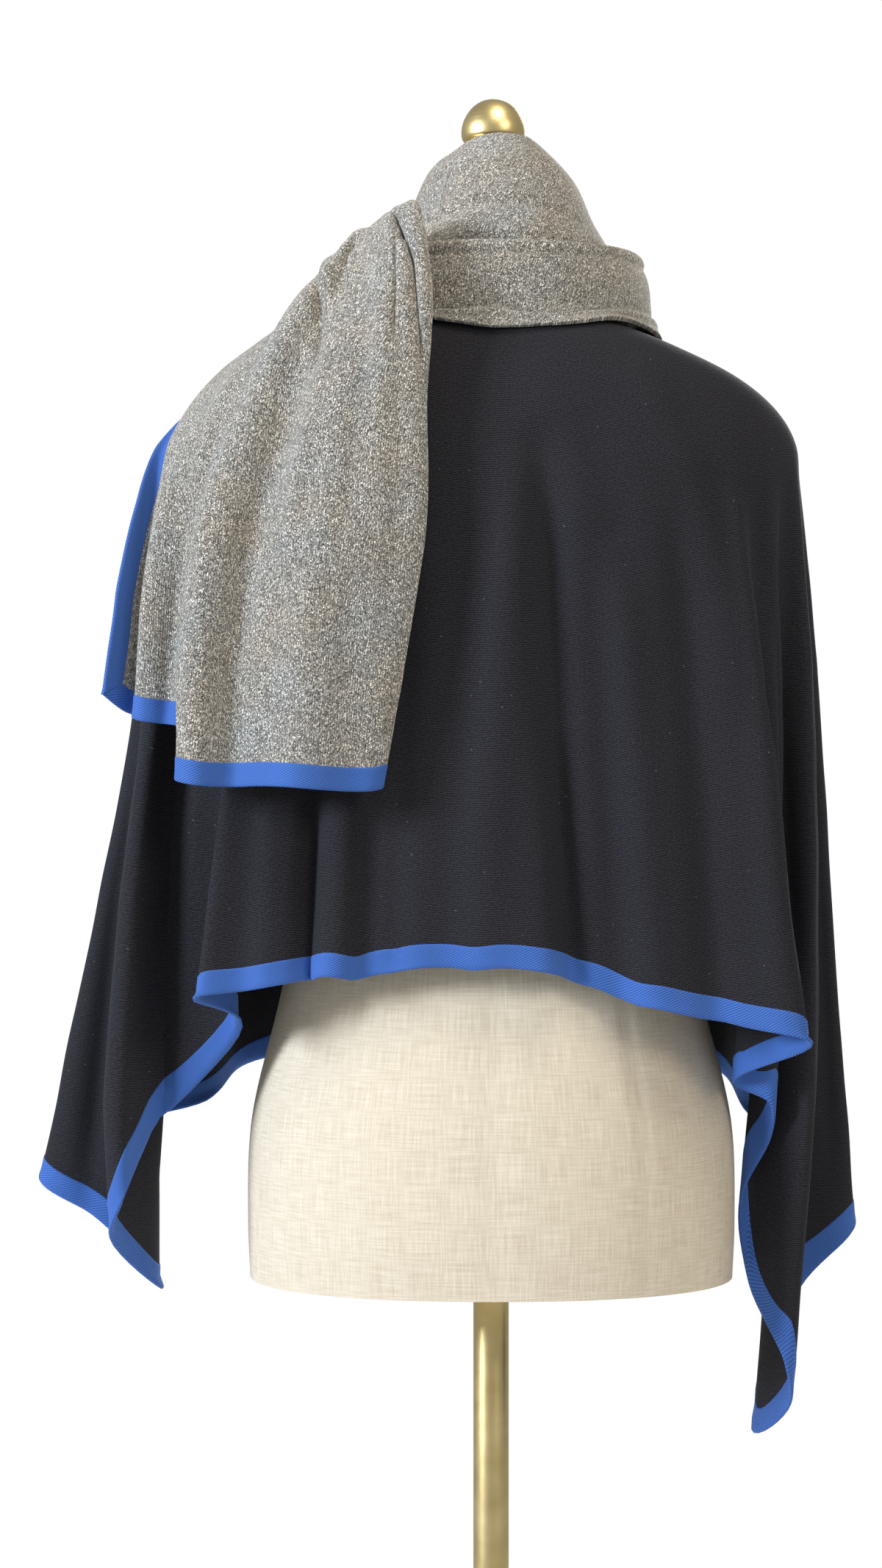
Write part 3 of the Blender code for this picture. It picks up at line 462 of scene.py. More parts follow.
# Milano knit, machine made and pressed flat: a crisp diagonal rib that glints a little paler than the
# ground, on a smooth, dense blue. The real ribs are 1.1 mm apart; 1.4 mm shows.
def milano_tape():
    finish, tree, shader = cloth_finish("milano knit tape, blue", 0.75, 0.25, 0.4, "#a9c4ff")
    uv = add(tree, "UVMap")
    slant = add(tree, "Mapping", {"Vector": uv, "Rotation": (0.0, 0.0, math.radians(58))})
    split = add(tree, "SeparateXYZ", {0: slant})
    jitter = add(tree, "TexNoise", {"Vector": uv, "Scale": 300.0, "Detail": 2.0})
    rib = ribs(tree, split.outputs[0], 0.0014, jitter, 2.4)
    tone = add(tree, "MapRange", {"Value": rib, "From Min": -1.0, "From Max": 1.0})
    worn = add(tree, "TexNoise", {"Vector": uv, "Scale": 26.0, "Detail": 3.0})
    deep = add(tree, "Mix", {0: worn, 6: linear("#294c92"), 7: linear("#2f559d")}, data_type="RGBA")
    colour = add(tree, "Mix", {0: tone, 6: deep.outputs[2], 7: linear("#446fbc")}, data_type="RGBA")
    bump = add(tree, "Bump", {"Height": rib, "Strength": 0.4, "Distance": 0.0002})
    feed(tree, shader, {"Base Color": colour.outputs[2], "Normal": bump})
    return finish


tape_finish = milano_tape()
LEAST_SINE = 0.35       # where the hem runs steeper than this to the cloth's columns, the strip narrows


def hem_stations(points, normals, first=False, last=False):
    """Stations along the bottom row; at an end whose side is taped too, the fold is mitred."""
    along, up = unit(np.gradient(points[-1], axis=0)), unit(points[-4] - points[-1])
    sine = np.clip(np.linalg.norm(np.cross(along, up), axis=1), LEAST_SINE, 1.0)
    for _ in range(6):
        sine[1:-1] = (sine[:-2] + 2 * sine[1:-1] + sine[2:]) / 4
    run = run_along(points[-1])
    made = []
    for c in range(points.shape[1]):
        room = min(run[c] if first else TAPE_WIDTH, run[-1] - run[c] if last else TAPE_WIDTH)
        made.append(inward(points[::-1, c], normals[::-1, c], np.minimum(tape_steps, room) / sine[c]))
    return made


def side_stations(points, normals, column):
    """Stations down one side edge, mitred where it meets the hem."""
    run = run_along(points[:, column])
    inwards = slice(None) if column == 0 else slice(None, None, -1)
    return [inward(points[r, inwards], normals[r, inwards], np.minimum(tape_steps, run[-1] - run[r]))
            for r in range(len(points) - 1)]


cape_stations = (side_stations(drape, drape_facing, 0)
                 + hem_stations(drape, drape_facing, first=True, last=True)
                 + side_stations(drape, drape_facing, -1)[::-1])
cape_tape = folded_tape("cape_binding", cape_stations, tape_finish, "cape_binding")

# ---- Shawl collar, first turn
# Thick grey melange lambswool that leans in on the neck as a funnel. It is one turn of the shawl, so a
# wrapped edge crosses it on the back, and its top edge is a soft turned fold.


# Lambswool spun from white, brown and charcoal fibres, knitted and lightly felted: a grey full of pale
# and dark flecks over fine wales under a soft pale nap. Painted light makes it warmer in one place and
# cooler in the next, as warm shade and cool light, in clouds laid at random.
def melange_wool():
    finish, tree, shader = cloth_finish("melange lambswool, grey", 0.95, 0.45, 0.55, "#f2efe8")
    uv = add(tree, "UVMap")
    # flecks are a third of a stitch in size, 0.5 by 0.8 mm; each takes the colour of its own fibres
    stitch_at = add(tree, "Mapping", {"Vector": uv, "Scale": (1900.0, 1300.0, 1.0)})
    stitch = add(tree, "TexVoronoi", {"Vector": stitch_at, "Scale": 1.0})
    pick = add(tree, "SeparateColor", {0: stitch.outputs["Color"]})
    fibre = add(tree, "ValToRGB", {0: pick})
    stops = [(0.0, "#383737"), (0.2, "#5b5854"), (0.38, "#7d7a75"), (0.62, "#9a9893"),
             (0.84, "#b6b4af"), (0.95, "#fffcf4")]
    ramp = fibre.color_ramp.elements
    for k, (place, code) in enumerate(stops):
        stop = ramp[k] if k < 2 else ramp.new(place)
        stop.position, stop.color = place, linear(code)
    # painted light: clouds of warm grey stand for warm shade and cool grey for cool light, laid at random
    cloud = add(tree, "TexNoise", {"Vector": uv, "Scale": 17.0, "Detail": 2.0})
    painted_light_tint = add(tree, "MapRange", {"Value": cloud, "From Min": 0.35, "From Max": 0.65})
    cast = add(tree, "Mix", {0: painted_light_tint, 6: linear("#d8cfbd"), 7: linear("#c8d2d7")}, data_type="RGBA")
    whole = add(tree, "Mix", {0: 0.55, 6: fibre, 7: cast.outputs[2]}, data_type="RGBA",
                blend_type="MULTIPLY")
    fine = add(tree, "TexNoise", {"Vector": uv, "Scale": 1500.0, "Detail": 2.0})
    fuzz = add(tree, "MapRange", {"Value": fine, "From Min": 0.3, "From Max": 0.7,
                                  "To Min": 0.72, "To Max": 1.35})
    # wales 1.6 mm apart, wandering a little; the grooves between them are painted darker, as shade
    split = add(tree, "SeparateXYZ", {0: uv})
    wander = add(tree, "TexNoise", {"Vector": uv, "Scale": 160.0, "Detail": 1.0})
    wale = ribs(tree, split.outputs[0], 0.0016, wander, 5.0)
    groove = add(tree, "MapRange", {"Value": wale, "From Min": -1.0, "From Max": 0.2,
                                    "To Min": 0.8, "To Max": 1.04})
    both = add(tree, "Math", {0: fuzz, 1: groove}, operation="MULTIPLY")
    colour = add(tree, "VectorMath", {0: whole.outputs[2], "Scale": both}, operation="SCALE")
    height = add(tree, "Math", {0: wale, 1: 0.35, 2: pick}, operation="MULTIPLY_ADD")
    bump = add(tree, "Bump", {"Height": height, "Strength": 0.6, "Distance": 0.0005})
    feed(tree, shader, {"Base Color": colour, "Normal": bump})
    return finish


wool = melange_wool()


def by_angle(table, degrees):
    """A value read smoothly from rows of angle and value."""
    degrees %= 360
    for (a, va), (b, vb) in zip(table, table[1:]):
        if a <= degrees <= b:
            f = (degrees - a) / (b - a)
            return va + (vb - va) * f * f * (3 - 2 * f)
    return table[-1][1]


def lifted(degrees, share, span, lift):
    """A point of the shoulders moved off them; the slope there is taken over a span of the share."""
    low, high = max(share - span, 0.0), min(share + span, 1.0)
    down = yoke(degrees, high)[0] - yoke(degrees, low)[0]
    along = yoke(degrees + 1.0, share)[0] - yoke(degrees - 1.0, share)[0]
    normal = unit(np.cross(down, along))
    return yoke(degrees, share)[0] + normal * math.copysign(1.0, normal[2]) * lift


def seat(degrees, half, lift):
    """Where a ring of the given half sizes rests on the shoulders, lifted off them."""
    radius = np.hypot(*oval(degrees, half))
    shares = np.linspace(0.0, 1.0, 401)
    line = yoke(degrees, shares)
    nearest = int(np.argmin(np.abs(np.hypot(line[:, 0], line[:, 1]) - radius)))
    return lifted(degrees, shares[nearest], 0.02, lift)


def turn_of_cloth(line_at, columns, rows):
    """Rows of points for a ring, top first: line_at gives a line's points and how far up it goes."""
    made = []
    for degrees in np.linspace(0.0, 360.0, columns + 1)[:-1]:
        points, reach = line_at(degrees)
        made.append([curve_at(points, reach * (1 - r / rows)) for r in range(rows + 1)])
    made = np.array(made).transpose(1, 0, 2)
    return np.concatenate([made, made[:, :1]], axis=1)


# how far the first turn lies off the cape, and its foot's half width and half depth
FUNNEL_REST = 0.0010
funnel_foot = (0.0945, 0.0870)
# the rings above the foot: centre x, half width, half depth, height
funnel_rings = [
    (0.004, 0.0925, 0.086, 1.47), (0.006, 0.08, 0.0835, 1.486), (0.006, 0.0655, 0.07, 1.51),
    (0.0055, 0.0545, 0.056, 1.5364), (0.0035, 0.0425, 0.044, 1.5536), (0.003, 0.0262, 0.0275, 1.57)]
# how far up those rings the top edge is, by angle: highest at the back and low at the front
funnel_top = [(0, 0.9), (50, 0.62), (90, 0.55), (130, 0.6), (180, 0.72), (215, 0.84), (240, 0.97),
              (270, 1), (320, 1), (360, 0.9)]


def funnel_line(degrees):
    points = [seat(degrees, funnel_foot, KNIT_WALL + FUNNEL_REST)]
    for x, wide, deep, z in funnel_rings:
        points.append(np.append(oval(degrees, (wide, deep)), z) + (x, 0.0, 0.0))
    return np.array(points), by_angle(funnel_top, degrees) * (len(points) - 1)


funnel = turn_of_cloth(funnel_line, 150, 60)
funnel = relaxed(funnel, 3, closed=True)
funnel = creased(funnel, [
    ([(-6.6, 149.6), (-5.3, 150.4), (-1.2, 152), (2.6, 151.9), (6.6, 150.8)], 3.6, 1.3),
    ([(-6.6, 149), (-5.2, 149.8), (-1.2, 151.4), (2.8, 151.2), (6.8, 150.2)], 3.8, -1.1),
    ([(-4.6, 153.6), (-3, 154.6), (0.6, 154.8)], 4, 0.9),
    ([(3.8, 155.4), (5, 153.2), (6.4, 151.2)], 5, 0.8),
    ([(-1.5, 156.6), (1, 154.2), (3.2, 153)], 5, -0.8),
    ([(-8, 148.3), (-3, 148.5), (3, 148.6), (9, 148.6)], 4, -2.2),
], -1, closed=True)
funnel = creased(funnel, [
    ([(-6, 151.2), (-1, 149.6), (5, 149.2)], 4, 1.2),
    ([(-5, 150.4), (0, 148.6), (5.5, 148.4)], 4, -1),
], 1, closed=True)
funnel_piece = cloth("collar_funnel", funnel, wool, KNIT_WALL, "neck_funnel", closed=True, lip=0.0009)

# ---- Shawl collar, second turn
# The same cloth folded double into a band round the foot of the neck. Its fold is crisp along the top;
# a welt shows as a soft ridge 11 mm above the lower edge.
BAND_WALL = 0.0030
# how far the band lies off the cape, its foot's half width and half depth, and where the foot spreads
# under the weight of the cloth: by angle, in mm
BAND_REST = 0.0018
band_foot = (0.1180, 0.1035)
foot_spread = [(0, 0), (225, 0), (248, 3), (268, 0), (292, 7), (325, 1), (360, 0)]
# the rings above the foot: half width, half depth, heights at the back, right, front and left
band_rings = [(0.1125, 0.1025, 1.437, 1.444, 1.442, 1.447), (0.11, 0.102, 1.46, 1.466, 1.456, 1.466),
              (0.104, 0.0985, 1.4815, 1.4845, 1.474, 1.48)]


def band_line(degrees):
    spread = by_angle(foot_spread, degrees) * MM
    foot = (band_foot[0] + spread, band_foot[1] + spread)
    points = [seat(degrees, foot, (KNIT_WALL + BAND_WALL) / 2 + BAND_REST)]
    for wide, deep, rear, right, fore, left in band_rings:
        height = by_angle([(0, right), (90, fore), (180, left), (270, rear), (360, right)], degrees)
        points.append(np.append(oval(degrees, (wide, deep)), height))
    return np.array(points), len(points) - 1


def ridge(away, at, rise, width):
    """A soft ridge, or below 0 a groove, along a row of the band: its place, rise and width in mm."""
    return rise * MM * np.exp(-((away - at * MM) / (width * MM)) ** 2)


band = turn_of_cloth(band_line, 180, 30)
from_top = measured(band)[..., 1]
from_hem = from_top[-1] - from_top
welt = (ridge(from_hem, 11.0, 1.6, 2.4) + ridge(from_hem, 16.0, -1.3, 3.0)
        + ridge(from_top, 3.0, 1.8, 2.6) + ridge(from_top, 8.5, -0.7, 3.0))
band = band + facing(band, closed=True) * welt[..., None]
band_piece = cloth("collar_band", band, wool, BAND_WALL, "neck_band", closed=True, lip=0.0012)

# ---- Shawl tail
# The end of the shawl: it comes up behind the band on the left, turns over it in pleats and hangs down
# the back in soft folds. Its two side edges are turned under.

# lines across it, top to hem: left x, y, z, right x, y, z and bow in cm, share of the fold depth
tail_sections = [
    (-8.1, -5.2, 148.3, -5.4, -7.7, 149.1, 0, 0.6), (-9.4, -7, 148.9, -5.2, -10.2, 150.6, 0.1, 0.65),
    (-11, -8.9, 146.8, -4.6, -12, 147, 0.2, 0.8), (-13.4, -10.2, 144, -4.4, -13.4, 142, 0.2, 0.95),
    (-17, -11.6, 137, -4.7, -14.2, 137, 0.2, 1), (-19.3, -13, 129.6, -4.7, -14.8, 129.6, 0.2, 1),
    (-20.6, -13.8, 120.4, -5.8, -14.8, 121.6, 0.1, 1), (-20.8, -14, 111.5, -7.6, -14.6, 111.1, 0, 1)]
# share of the way across, lift at the crest and at the hem, and rise of the hem, in cm; a first or last
# row that doubles back is the side turned under
tail_folds = [
    (0.28, -0.75, -0.75, 0), (-0.01, -0.2, -0.25, 0.3), (0.09, 0.45, 0.5, 0.05), (0.25, 0, -0.25, 0),
    (0.42, 0.1, 0.45, 0.12), (0.57, 0.3, 1.35, 0.1), (0.71, 0.45, 1.3, 0), (0.86, 0.4, 0.5, -0.06),
    (0.96, 0.4, 0.15, 0), (1.01, -0.2, -0.35, 0.2), (0.74, -0.75, -0.85, 0)]


def hung(sections, folds, side, rows, per_fold, opens=(0.15, 0.6)):
    """Rows of points for a sheet hung in folds between its left and right lines.

    The folds change from their crest form to their hem form along the way down: opens gives the share
    where that starts and the share that it takes. side is 1 or -1, for the side that the folds rise to.
    """
    sections = np.array(sections)
    left, right = sections[:, 0:3] * CM, sections[:, 3:6] * CM
    last = len(sections) - 1
    made = []
    for down in np.linspace(0.0, 1.0, rows + 1):
        place = down * last
        low, high = max(place - 0.1, 0.0), min(place + 0.1, last)
        a, b = curve_at(left, place), curve_at(right, place)
        drop = curve_at(left, high) + curve_at(right, high) - curve_at(left, low) - curve_at(right, low)
        normal = unit(np.cross(drop, b - a)) * side
        i = min(int(place), last - 1)
        bow, share = sections[i, 6:8] + (sections[i + 1, 6:8] - sections[i, 6:8]) * (place - i)
        blend = min(max((down - opens[0]) / opens[1], 0.0), 1.0)
        line = []
        for across, crest, hem, rise in folds:
            lift = (crest + (hem - crest) * blend) * share + bow * 4 * across * (1 - across)
            raised = np.array((0.0, 0.0, rise * CM * down ** 4))
            line.append(a + (b - a) * across + normal * lift * CM + raised)
        made.append(curve_through(np.array(line), per_fold))
    return np.array(made)


tail = hung(tail_sections, tail_folds, side=1, rows=120, per_fold=12)
tail = relaxed(tail, 3)
tail_creases = [
    ([(-6.9, 150.3), (-6.6, 149.5), (-6.3, 148.6), (-6.1, 147.9)], 2, -6.5),
    ([(-6.8, 149.6), (-6.62, 147.6), (-6.55, 144.7), (-6.7, 140.6)], 1.2, -3),
    ([(-6.5, 149.3), (-5.9, 147.9), (-5.45, 146.3), (-5.25, 144.6), (-5.1, 143), (-4.85, 140.6),
      (-4.9, 138.6)], 1.9, -5.0),
    ([(-6.2, 147.6), (-6.05, 145.5), (-5.85, 142.5), (-5.7, 138.5)], 3, 1.8),
    ([(-5.9, 150), (-5, 148), (-4.6, 145), (-4.5, 141.6)], 3.6, 2.2),
    ([(-10.2, 148.6), (-11.1, 147.6), (-11.1, 145.8), (-10.8, 143.4)], 5, 3.4),
    ([(-9.2, 148.5), (-9.9, 147.4), (-10.1, 146.2)], 2.6, -4.2),
    ([(-12, 146.4), (-11.75, 144.2), (-11.5, 141.8), (-11.9, 138.5)], 3.2, -4.2),
    ([(-10.7, 143.6), (-10.9, 140.6), (-11.9, 136), (-13, 131), (-13.6, 125)], 7, 3.6),
    ([(-12.4, 140.4), (-14.2, 134), (-16.2, 127), (-17.4, 118), (-17.6, 110)], 9, -5),
    ([(-8.6, 147.4), (-8.6, 142), (-9.2, 134), (-10, 126)], 9, -4),
    ([(-7.6, 146), (-7.2, 138), (-7.4, 128), (-8.4, 114)], 8, 1.6),
    ([(-9, 128), (-9.8, 120), (-10.6, 110)], 10, -1.6),
    ([(-12.2, 130), (-12.9, 120), (-13.2, 109)], 12, 2.2),
    ([(-17.4, 136), (-19.2, 128), (-19.9, 118), (-20, 110)], 7, 3),
]
tail = creased(tail, tail_creases, -1)
tail = uneven(tail, 0.03, 0.0007)
tail_piece = cloth("shawl_tail", held_in(tail), wool, KNIT_WALL, "shawl_tail", lip=0.0008)
tail_tape = folded_tape("tail_binding", hem_stations(tail, facing(tail)), tape_finish, "tail_binding")

# ---- Shawl drape
# The shawl's wide part, thrown over the left shoulder: it starts under the tail, spreads in folds, and
# its hem and outer edge are bound in the same blue strip, mitred at the corner.

# lines across it and folds, as in the tail's tables
drape_sections = [
    (-8.6, -4.4, 147.7, -9.5, 1.3, 147.7, 0.1, 0.25), (-9.5, -5, 148.5, -10.8, 1.6, 148.4, 0.2, 0.35),
    (-10.8, -6.4, 146.6, -12.1, 2.4, 146.4, 0.3, 0.5), (-12.6, -8.2, 143.8, -14.4, 3.5, 143.4, 0.5, 0.7),
    (-15, -9.8, 139.8, -19.2, 3.8, 139.7, 1.2, 0.9), (-15.9, -10.4, 137, -21.8, 3, 137.3, 1.4, 1),
    (-16.6, -10.8, 133.8, -23.4, 1.2, 134.4, 1.5, 1), (-17.6, -11.4, 127.6, -24.2, -2.6, 128.8, 1.2, 1),
    (-18.4, -11.9, 121.4, -24.9, -4.9, 121.4, 1, 1), (-18.8, -12.2, 115.2, -25.8, -6, 115.4, 0.9, 1)]
drape_folds = [
    (0, 0, 0, 0), (0.14, 0, 0, 0), (0.26, 0.25, 0.5, 0.1), (0.38, 0.1, 0.3, 0.2),
    (0.5, 0.3, 1.1, 0.2), (0.56, 0.4, 1.3, 0.3), (0.62, 0.4, 0.9, 0.4), (0.7, 0.3, -0.2, 0.6),
    (0.765, 0.15, -0.3, 0.9), (0.82, 0, 0.7, 1.2), (0.84, 0, 2.2, 1.9)]
over = hung(drape_sections, drape_folds, side=-1, rows=110, per_fold=12, opens=(0.56, 0.3))[:, ::-1]
outer_edge = over[:, 0].copy()
over = relaxed(over, 3)
over[:, 0] = outer_edge
drape_creases = [
    ([(-12, 145.6), (-13.2, 141.2), (-13.9, 136.6), (-16.5, 131)], 4.5, 2),
    ([(-18.6, 136), (-20.5, 129.5), (-21.7, 121), (-22, 112)], 6, -5),
    ([(-16.6, 141.2), (-20.2, 135.8), (-22.4, 130.6), (-23.6, 123.5), (-24.1, 117.5)], 6, 1.8),
    ([(-23, 135), (-23.9, 130), (-24.4, 123), (-24.6, 112)], 5, -4),
]
over = creased(over, drape_creases, -1)
over = uneven(over, 0.03, 0.0007)
over_facing = facing(over)
over_tucked = held_in(over)
drape_piece = cloth("shawl_drape", over_tucked[:, 1:], wool, KNIT_WALL, "shawl_drape", lip=0.0008)
drape_stations = side_stations(over, over_facing, 0) + hem_stations(over, over_facing, first=True)
drape_tape = folded_tape("drape_binding", drape_stations, tape_finish, "drape_binding")

# ---- Dress form, torso
# A padded papier-mache torso without limbs, covered in unbleached linen cut in panels: the seams run
# down the sides, over the shoulder blades and the chest, and the cover is pulled tight underneath.

# neck: radius and height; below the shoulders: half width, half depth and height
neck_rings = [(0.0540, 1.498), (0.0560, 1.496), (0.0565, 1.474), (0.0640, 1.4590)]
torso_rings = [
    (0.199, 0.115, 1.32), (0.176, 0.112, 1.265), (0.16, 0.112, 1.2),
    (0.144, 0.1, 1.12), (0.133, 0.092, 1.05), (0.148, 0.102, 0.97),
    (0.169, 0.114, 0.88), (0.1715, 0.1155, 0.81), (0.17, 0.112, 0.77)]
torso_power = 2.25
UNDER_CAPE = -(KNIT_WALL / 2 + 0.0042)      # 4.2 mm inside the cape's inner face


def torso_line(degrees):
    points = [np.append(oval(degrees, (r, r)), z) for r, z in neck_rings]
    points += [lifted(degrees, share, 0.02, UNDER_CAPE) for share in np.arange(6) / 7]
    points += [np.append(oval(degrees, (wide, deep), torso_power), z) for wide, deep, z in torso_rings]
    return np.array(points)


angles = np.linspace(0.0, 360.0, 161)
body = []
for degrees in angles[:-1]:
    skin = curve_through(torso_line(degrees), 8)
    head, foot = skin[0], skin[-1]
    # the cover closes over the neck, and turns under over a soft edge to the pole's socket
    skin = [head * (f, f, 1.0) for f in (0.0, 0.5, 0.96)] + skin
    skin += [foot * (f, f, 1.0) for f in (0.985, 0.9, 0.6, 0.3, 0.0)]
    body.append(skin)
body = np.array(body).transpose(1, 0, 2)
body = np.concatenate([body, body[:, :1]], axis=1)
# seams at these angles, below the shoulders, each a groove 1.2 mm deep and 2 degrees wide
seam_at, SEAM_DEPTH, SEAM_WIDTH = (0, 62, 118, 180, 236, 270, 304), 0.0012, 0.9
groove = sum(np.exp(-((((angles - a + 180) % 360) - 180) / SEAM_WIDTH) ** 2) for a in seam_at)
seamed = (body[..., 2] < 1.30) & (body[..., 2] > 0.7701)
body = body - facing(body, closed=True) * (groove[None, :] * seamed * SEAM_DEPTH)[..., None]


# Linen woven plain from unbleached yarn: a dry, pale, flat surface, mottled by thick and thin threads
# both ways. At 16 threads to the cm a thread is 0.6 mm; 1.2 mm shows.
def linen_cover():
    finish, tree, shader = cloth_finish("plain woven linen, unbleached", 0.85, 0.15, 0.5, "#fff6e6")
    uv = add(tree, "UVMap")
    slub_at = add(tree, "Mapping", {"Vector": uv, "Scale": (40.0, 900.0, 1.0)})
    slub = add(tree, "TexNoise", {"Vector": slub_at, "Scale": 1.0, "Detail": 2.0})
    fleck_at = add(tree, "Mapping", {"Vector": uv, "Scale": (900.0, 40.0, 1.0)})
    fleck = add(tree, "TexNoise", {"Vector": fleck_at, "Scale": 1.0, "Detail": 2.0})
    split = add(tree, "SeparateXYZ", {0: uv})
    warp, weft = ribs(tree, split.outputs[0], 0.0012), ribs(tree, split.outputs[1], 0.0012)
    over_under = add(tree, "Math", {0: warp, 1: weft}, operation="MULTIPLY")
    threads = add(tree, "Math", {0: slub, 1: fleck}, operation="ADD")
    shade = add(tree, "MapRange", {"Value": threads, "From Min": 0.7, "From Max": 1.3})
    colour = add(tree, "Mix", {0: shade, 6: linear("#c9bda6"), 7: linear("#e2d9c6")}, data_type="RGBA")
    height = add(tree, "Math", {0: over_under, 1: 0.5, 2: threads}, operation="MULTIPLY_ADD")
    bump = add(tree, "Bump", {"Height": height, "Strength": 0.5, "Distance": 0.0003})
    feed(tree, shader, {"Base Color": colour.outputs[2], "Normal": bump})
    return finish


# the weave runs round the form at its mean radius, 165 mm
girth = np.broadcast_to(np.radians(angles) * 0.165, body.shape[:2])
fall = np.broadcast_to(measured(body)[..., 1].mean(axis=1)[:, None], body.shape[:2])
torso = cloth("linen_torso", body, linen_cover(), 0.0, "form_torso",
              uv=np.stack([girth, fall], axis=-1), closed=True)

# ---- Neck cap and finial
# Spun brass, lacquered: a domed cap closes the neck and a turned ball screws into it. Lathe lines and a
# slight unevenness of the lacquer show in the highlights.


def turned(name, profile, centre_x, finish, node, steps=96, edge=0.0004):
    """A profile of radius and height, from the top down, extruded point by point and spun round."""
    bpy.ops.object.select_all(action="DESELECT")
    bpy.ops.mesh.primitive_plane_add(size=0.01)
    piece = bpy.context.object
    piece.name = piece.data.name = name
    bpy.ops.object.mode_set(mode="EDIT")
    bpy.ops.mesh.select_all(action="SELECT")
    bpy.ops.mesh.merge(type="CENTER")
    r, z = profile[0]
    bpy.ops.transform.translate(value=(r, 0.0, z))
    for (r0, z0), (r1, z1) in zip(profile, profile[1:]):
        bpy.ops.mesh.extrude_vertices_move(TRANSFORM_OT_translate={"value": (r1 - r0, 0.0, z1 - z0)})
    bpy.ops.mesh.select_all(action="SELECT")
    bpy.ops.mesh.spin(steps=steps, angle=2 * math.pi, center=(0, 0, 0), axis=(0, 0, 1))
    bpy.ops.mesh.select_all(action="SELECT")
    bpy.ops.mesh.remove_doubles(threshold=WELD)
    bpy.ops.mesh.normals_make_consistent(inside=False)
    bpy.ops.transform.translate(value=(centre_x, 0.0, 0.0))
    bpy.ops.object.mode_set(mode="OBJECT")
    if edge:
        softened(piece, edge, 24)
    bpy.ops.object.shade_smooth()
    piece.data.materials.append(finish)
    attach(piece, "root")
    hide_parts(node)
    return piece


# Brass spun or turned on a lathe, then lacquered: a warm, soft gloss that is a little uneven, over fine
# turned lines 0.8 mm apart.
def spun_brass():
    finish, tree, shader = finish_named("spun brass, lacquered", {
        "Metallic": 1.0, "Coat Weight": 0.15, "Coat Roughness": 0.3})
    place = add(tree, "TexCoord").outputs["Object"]
    cloud = add(tree, "TexNoise", {"Vector": place, "Scale": 60.0, "Detail": 4.0})
    colour = add(tree, "Mix", {0: cloud, 6: linear("#d2ba7c"), 7: linear("#e8d5a0")}, data_type="RGBA")
    split = add(tree, "SeparateXYZ", {0: place})
    cut = ribs(tree, split.outputs[2], 0.0008)
    bump = add(tree, "Bump", {"Height": cut, "Strength": 0.08, "Distance": 0.0001})
    rough = add(tree, "MapRange", {"Value": cloud, "To Min": 0.3, "To Max": 0.46})
    feed(tree, shader, {"Base Color": colour.outputs[2], "Roughness": rough, "Normal": bump})
    return finish


def rounded(profile):
    """A smooth curve through a profile's points."""
    made = curve_through(np.array([(r, 0.0, z) for r, z in profile]), 5)
    return [(max(float(p[0]), 0.0), float(p[2])) for p in made]


brass = spun_brass()
# radius and height; the cap stands on the torso's neck, and the ball is turned with one groove
NECK_TOP, FORM_X = 1.4983, 0.002
dome = [(0, 1.5672), (0.015, 1.5672), (0.026, 1.563), (0.036, 1.555), (0.046, 1.539),
        (0.053, 1.52), (0.0555, 1.508)]
cap = turned("neck_cap", rounded(dome) + [(0.0557, 1.5040), (0.0555, NECK_TOP), (0.0, NECK_TOP)],
             FORM_X, brass, "form_neck_cap")
ball = [(0.0, 1.6000), (0.0085, 1.5984), (0.0155, 1.5938), (0.0198, 1.5880), (0.0205, 1.5864)]
belly = [(0.0211, 1.5856), (0.0226, 1.5806), (0.0230, 1.5758), (0.0221, 1.5714), (0.0180, 1.5684)]
finial = turned("finial", rounded(ball) + rounded(belly) + [(0.0150, 1.5680), (0.0, 1.5680)],
                FORM_X, brass, "form_finial", edge=0.0)

# ---- Pole and base
# A 25 mm brassed steel tube is pushed into the form's socket. It stands in the raised hub of a heavy
# disc, which is cast in iron and stove enamelled black.
POLE_RADIUS = 0.0125
pole = turned("pole", [(0.0, 0.7697), (POLE_RADIUS, 0.7697), (POLE_RADIUS, 0.0403), (0.0, 0.0403)],
              0.0, brass, "form_pole", steps=64, edge=0.0002)


# Iron cast in sand and stove enamelled: a near-black satin with the casting's grain under it, and duller
# where it has been handled.
def enamelled_iron():
    finish, tree, shader = finish_named("cast iron, stove enamelled black")
    place = add(tree, "TexCoord").outputs["Object"]
    grain = add(tree, "TexNoise", {"Vector": place, "Scale": 500.0, "Detail": 3.0})
    wear = add(tree, "TexNoise", {"Vector": place, "Scale": 22.0, "Detail": 5.0})
    colour = add(tree, "Mix", {0: wear, 6: linear("#17171a"), 7: linear("#26262a")}, data_type="RGBA")
    rough = add(tree, "MapRange", {"Value": wear, "To Min": 0.34, "To Max": 0.55})
    bump = add(tree, "Bump", {"Height": grain, "Strength": 0.25, "Distance": 0.0003})
    feed(tree, shader, {"Base Color": colour.outputs[2], "Roughness": rough, "Normal": bump})
    return finish


disc = [(0.0, 0.040), (0.021, 0.040), (0.030, 0.024), (0.048, 0.017), (0.184, 0.013), (0.190, 0.008),
        (0.190, 0.002), (0.188, 0.0), (0.0, 0.0)]
base = turned("base", disc, 0.0, enamelled_iron(), "form_base", edge=0.0008)

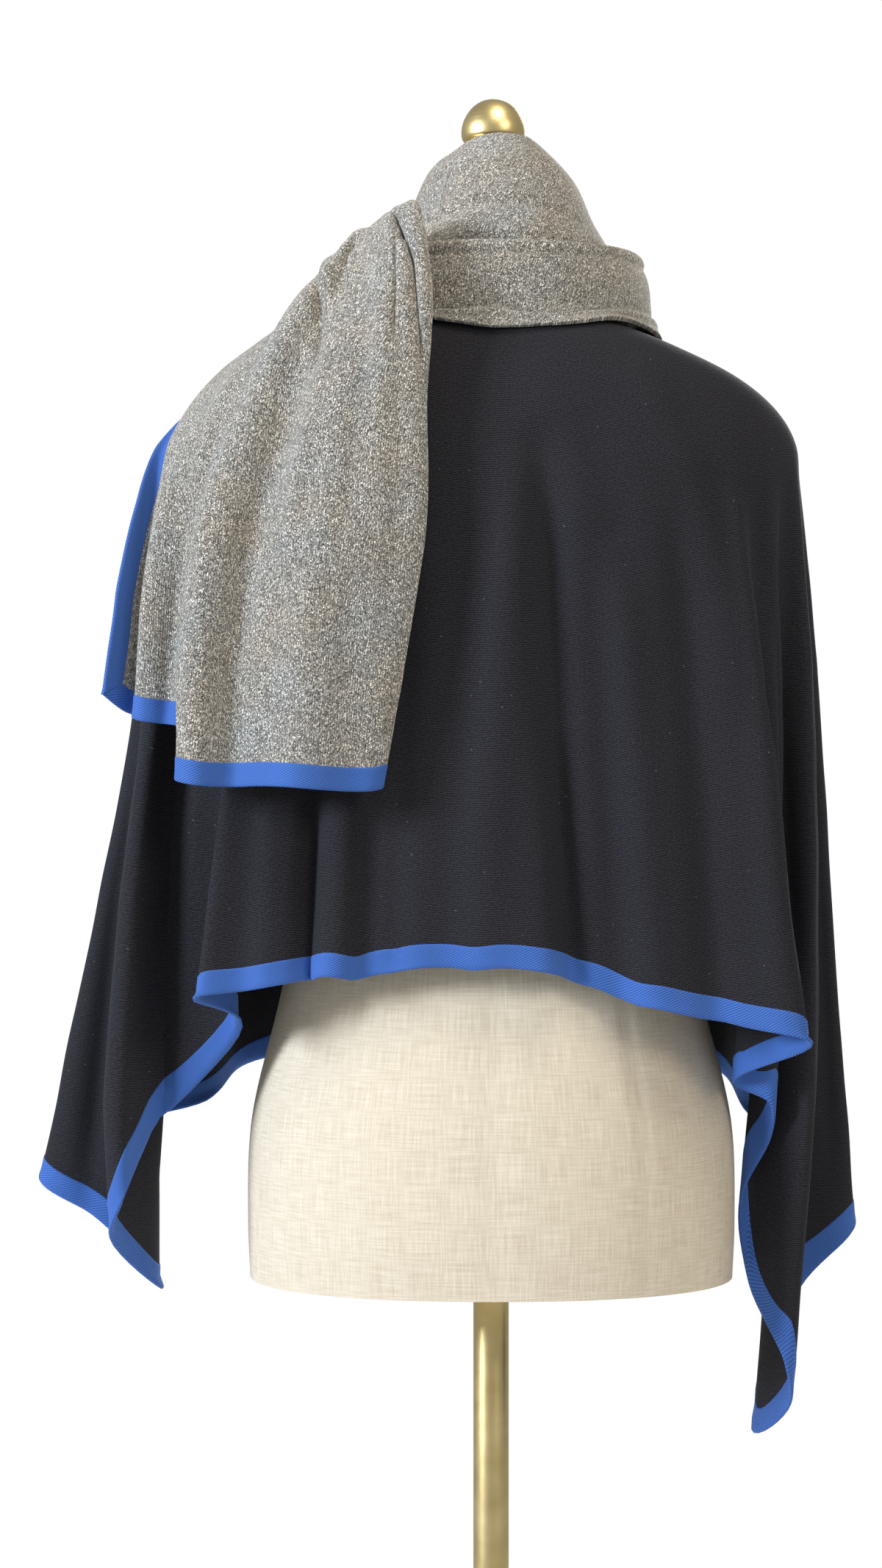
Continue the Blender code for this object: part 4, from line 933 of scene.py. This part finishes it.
# ---- Floor, light and camera
# A plain pale floor and a white surround. A large cool light stands at the upper left of the picture,
# warm ones stand at the right and hang overhead, and a wide one lights the front of the cape.
bpy.ops.object.select_all(action="DESELECT")
bpy.ops.mesh.primitive_circle_add(vertices=96, radius=1.85, fill_type="NGON", location=(0, 0, -0.0005))
floor = bpy.context.object
floor.name = "floor"
bpy.ops.object.transform_apply(location=True)
paint = finish_named("matt floor paint, pale", {"Base Color": linear("#e9e8e5"), "Roughness": 0.8})[0]
floor.data.materials.append(paint)

world = bpy.data.worlds.new("white surround")
world.use_nodes = True
air = world.node_tree
# the backdrop is seen at full white; what it gives back as light is less
seen = add(air, "LightPath").outputs["Is Camera Ray"]
bright = add(air, "MapRange", {"Value": seen, "To Min": 0.34, "To Max": 1.0})
feed(air, air.nodes["Background"], {"Color": linear("#ffffff"), "Strength": bright})
bpy.context.scene.world = world


def soft_light(name, place, aim, size, power, tint):
    """A square area light pointed at a spot."""
    bpy.ops.object.light_add(type="AREA", location=place)
    lamp = bpy.context.object
    lamp.name = name
    lamp.rotation_euler = (Vector(aim) - Vector(place)).to_track_quat("-Z", "Y").to_euler()
    lamp.data.size, lamp.data.energy, lamp.data.color = size, power, linear(tint)[:3]


soft_light("window light", (-2.8, -1.5, 2.0), (0.0, 0.0, 1.2), 0.9, 132, "#eaf2ff")
soft_light("room light", (1.9, -2.3, 2.6), (0.0, 0.0, 1.2), 1.0, 30, "#fff1e0")
soft_light("ceiling light", (0.4, -1.0, 3.3), (0.0, 0.0, 1.3), 0.8, 26, "#fff4e4")
soft_light("far light", (0.8, 2.7, 2.3), (0.0, 0.0, 1.15), 1.4, 90, "#ffffff")

# the photograph is 2133 pixels high; each is 0.52 mm at the pole, 2 m from the camera
PIXELS_HIGH, PIXEL, DISTANCE, SENSOR = 2133, 0.00052, 2.0, 24.0
bpy.ops.object.camera_add(location=(-0.0354, -DISTANCE, 1.116), rotation=(math.radians(90), 0.0, 0.0))
camera = bpy.context.object
camera.data.sensor_fit, camera.data.sensor_height = "VERTICAL", SENSOR
camera.data.lens = SENSOR * DISTANCE / (PIXELS_HIGH * PIXEL)
bpy.context.scene.camera = camera
bpy.context.scene.view_settings.view_transform = "Standard"
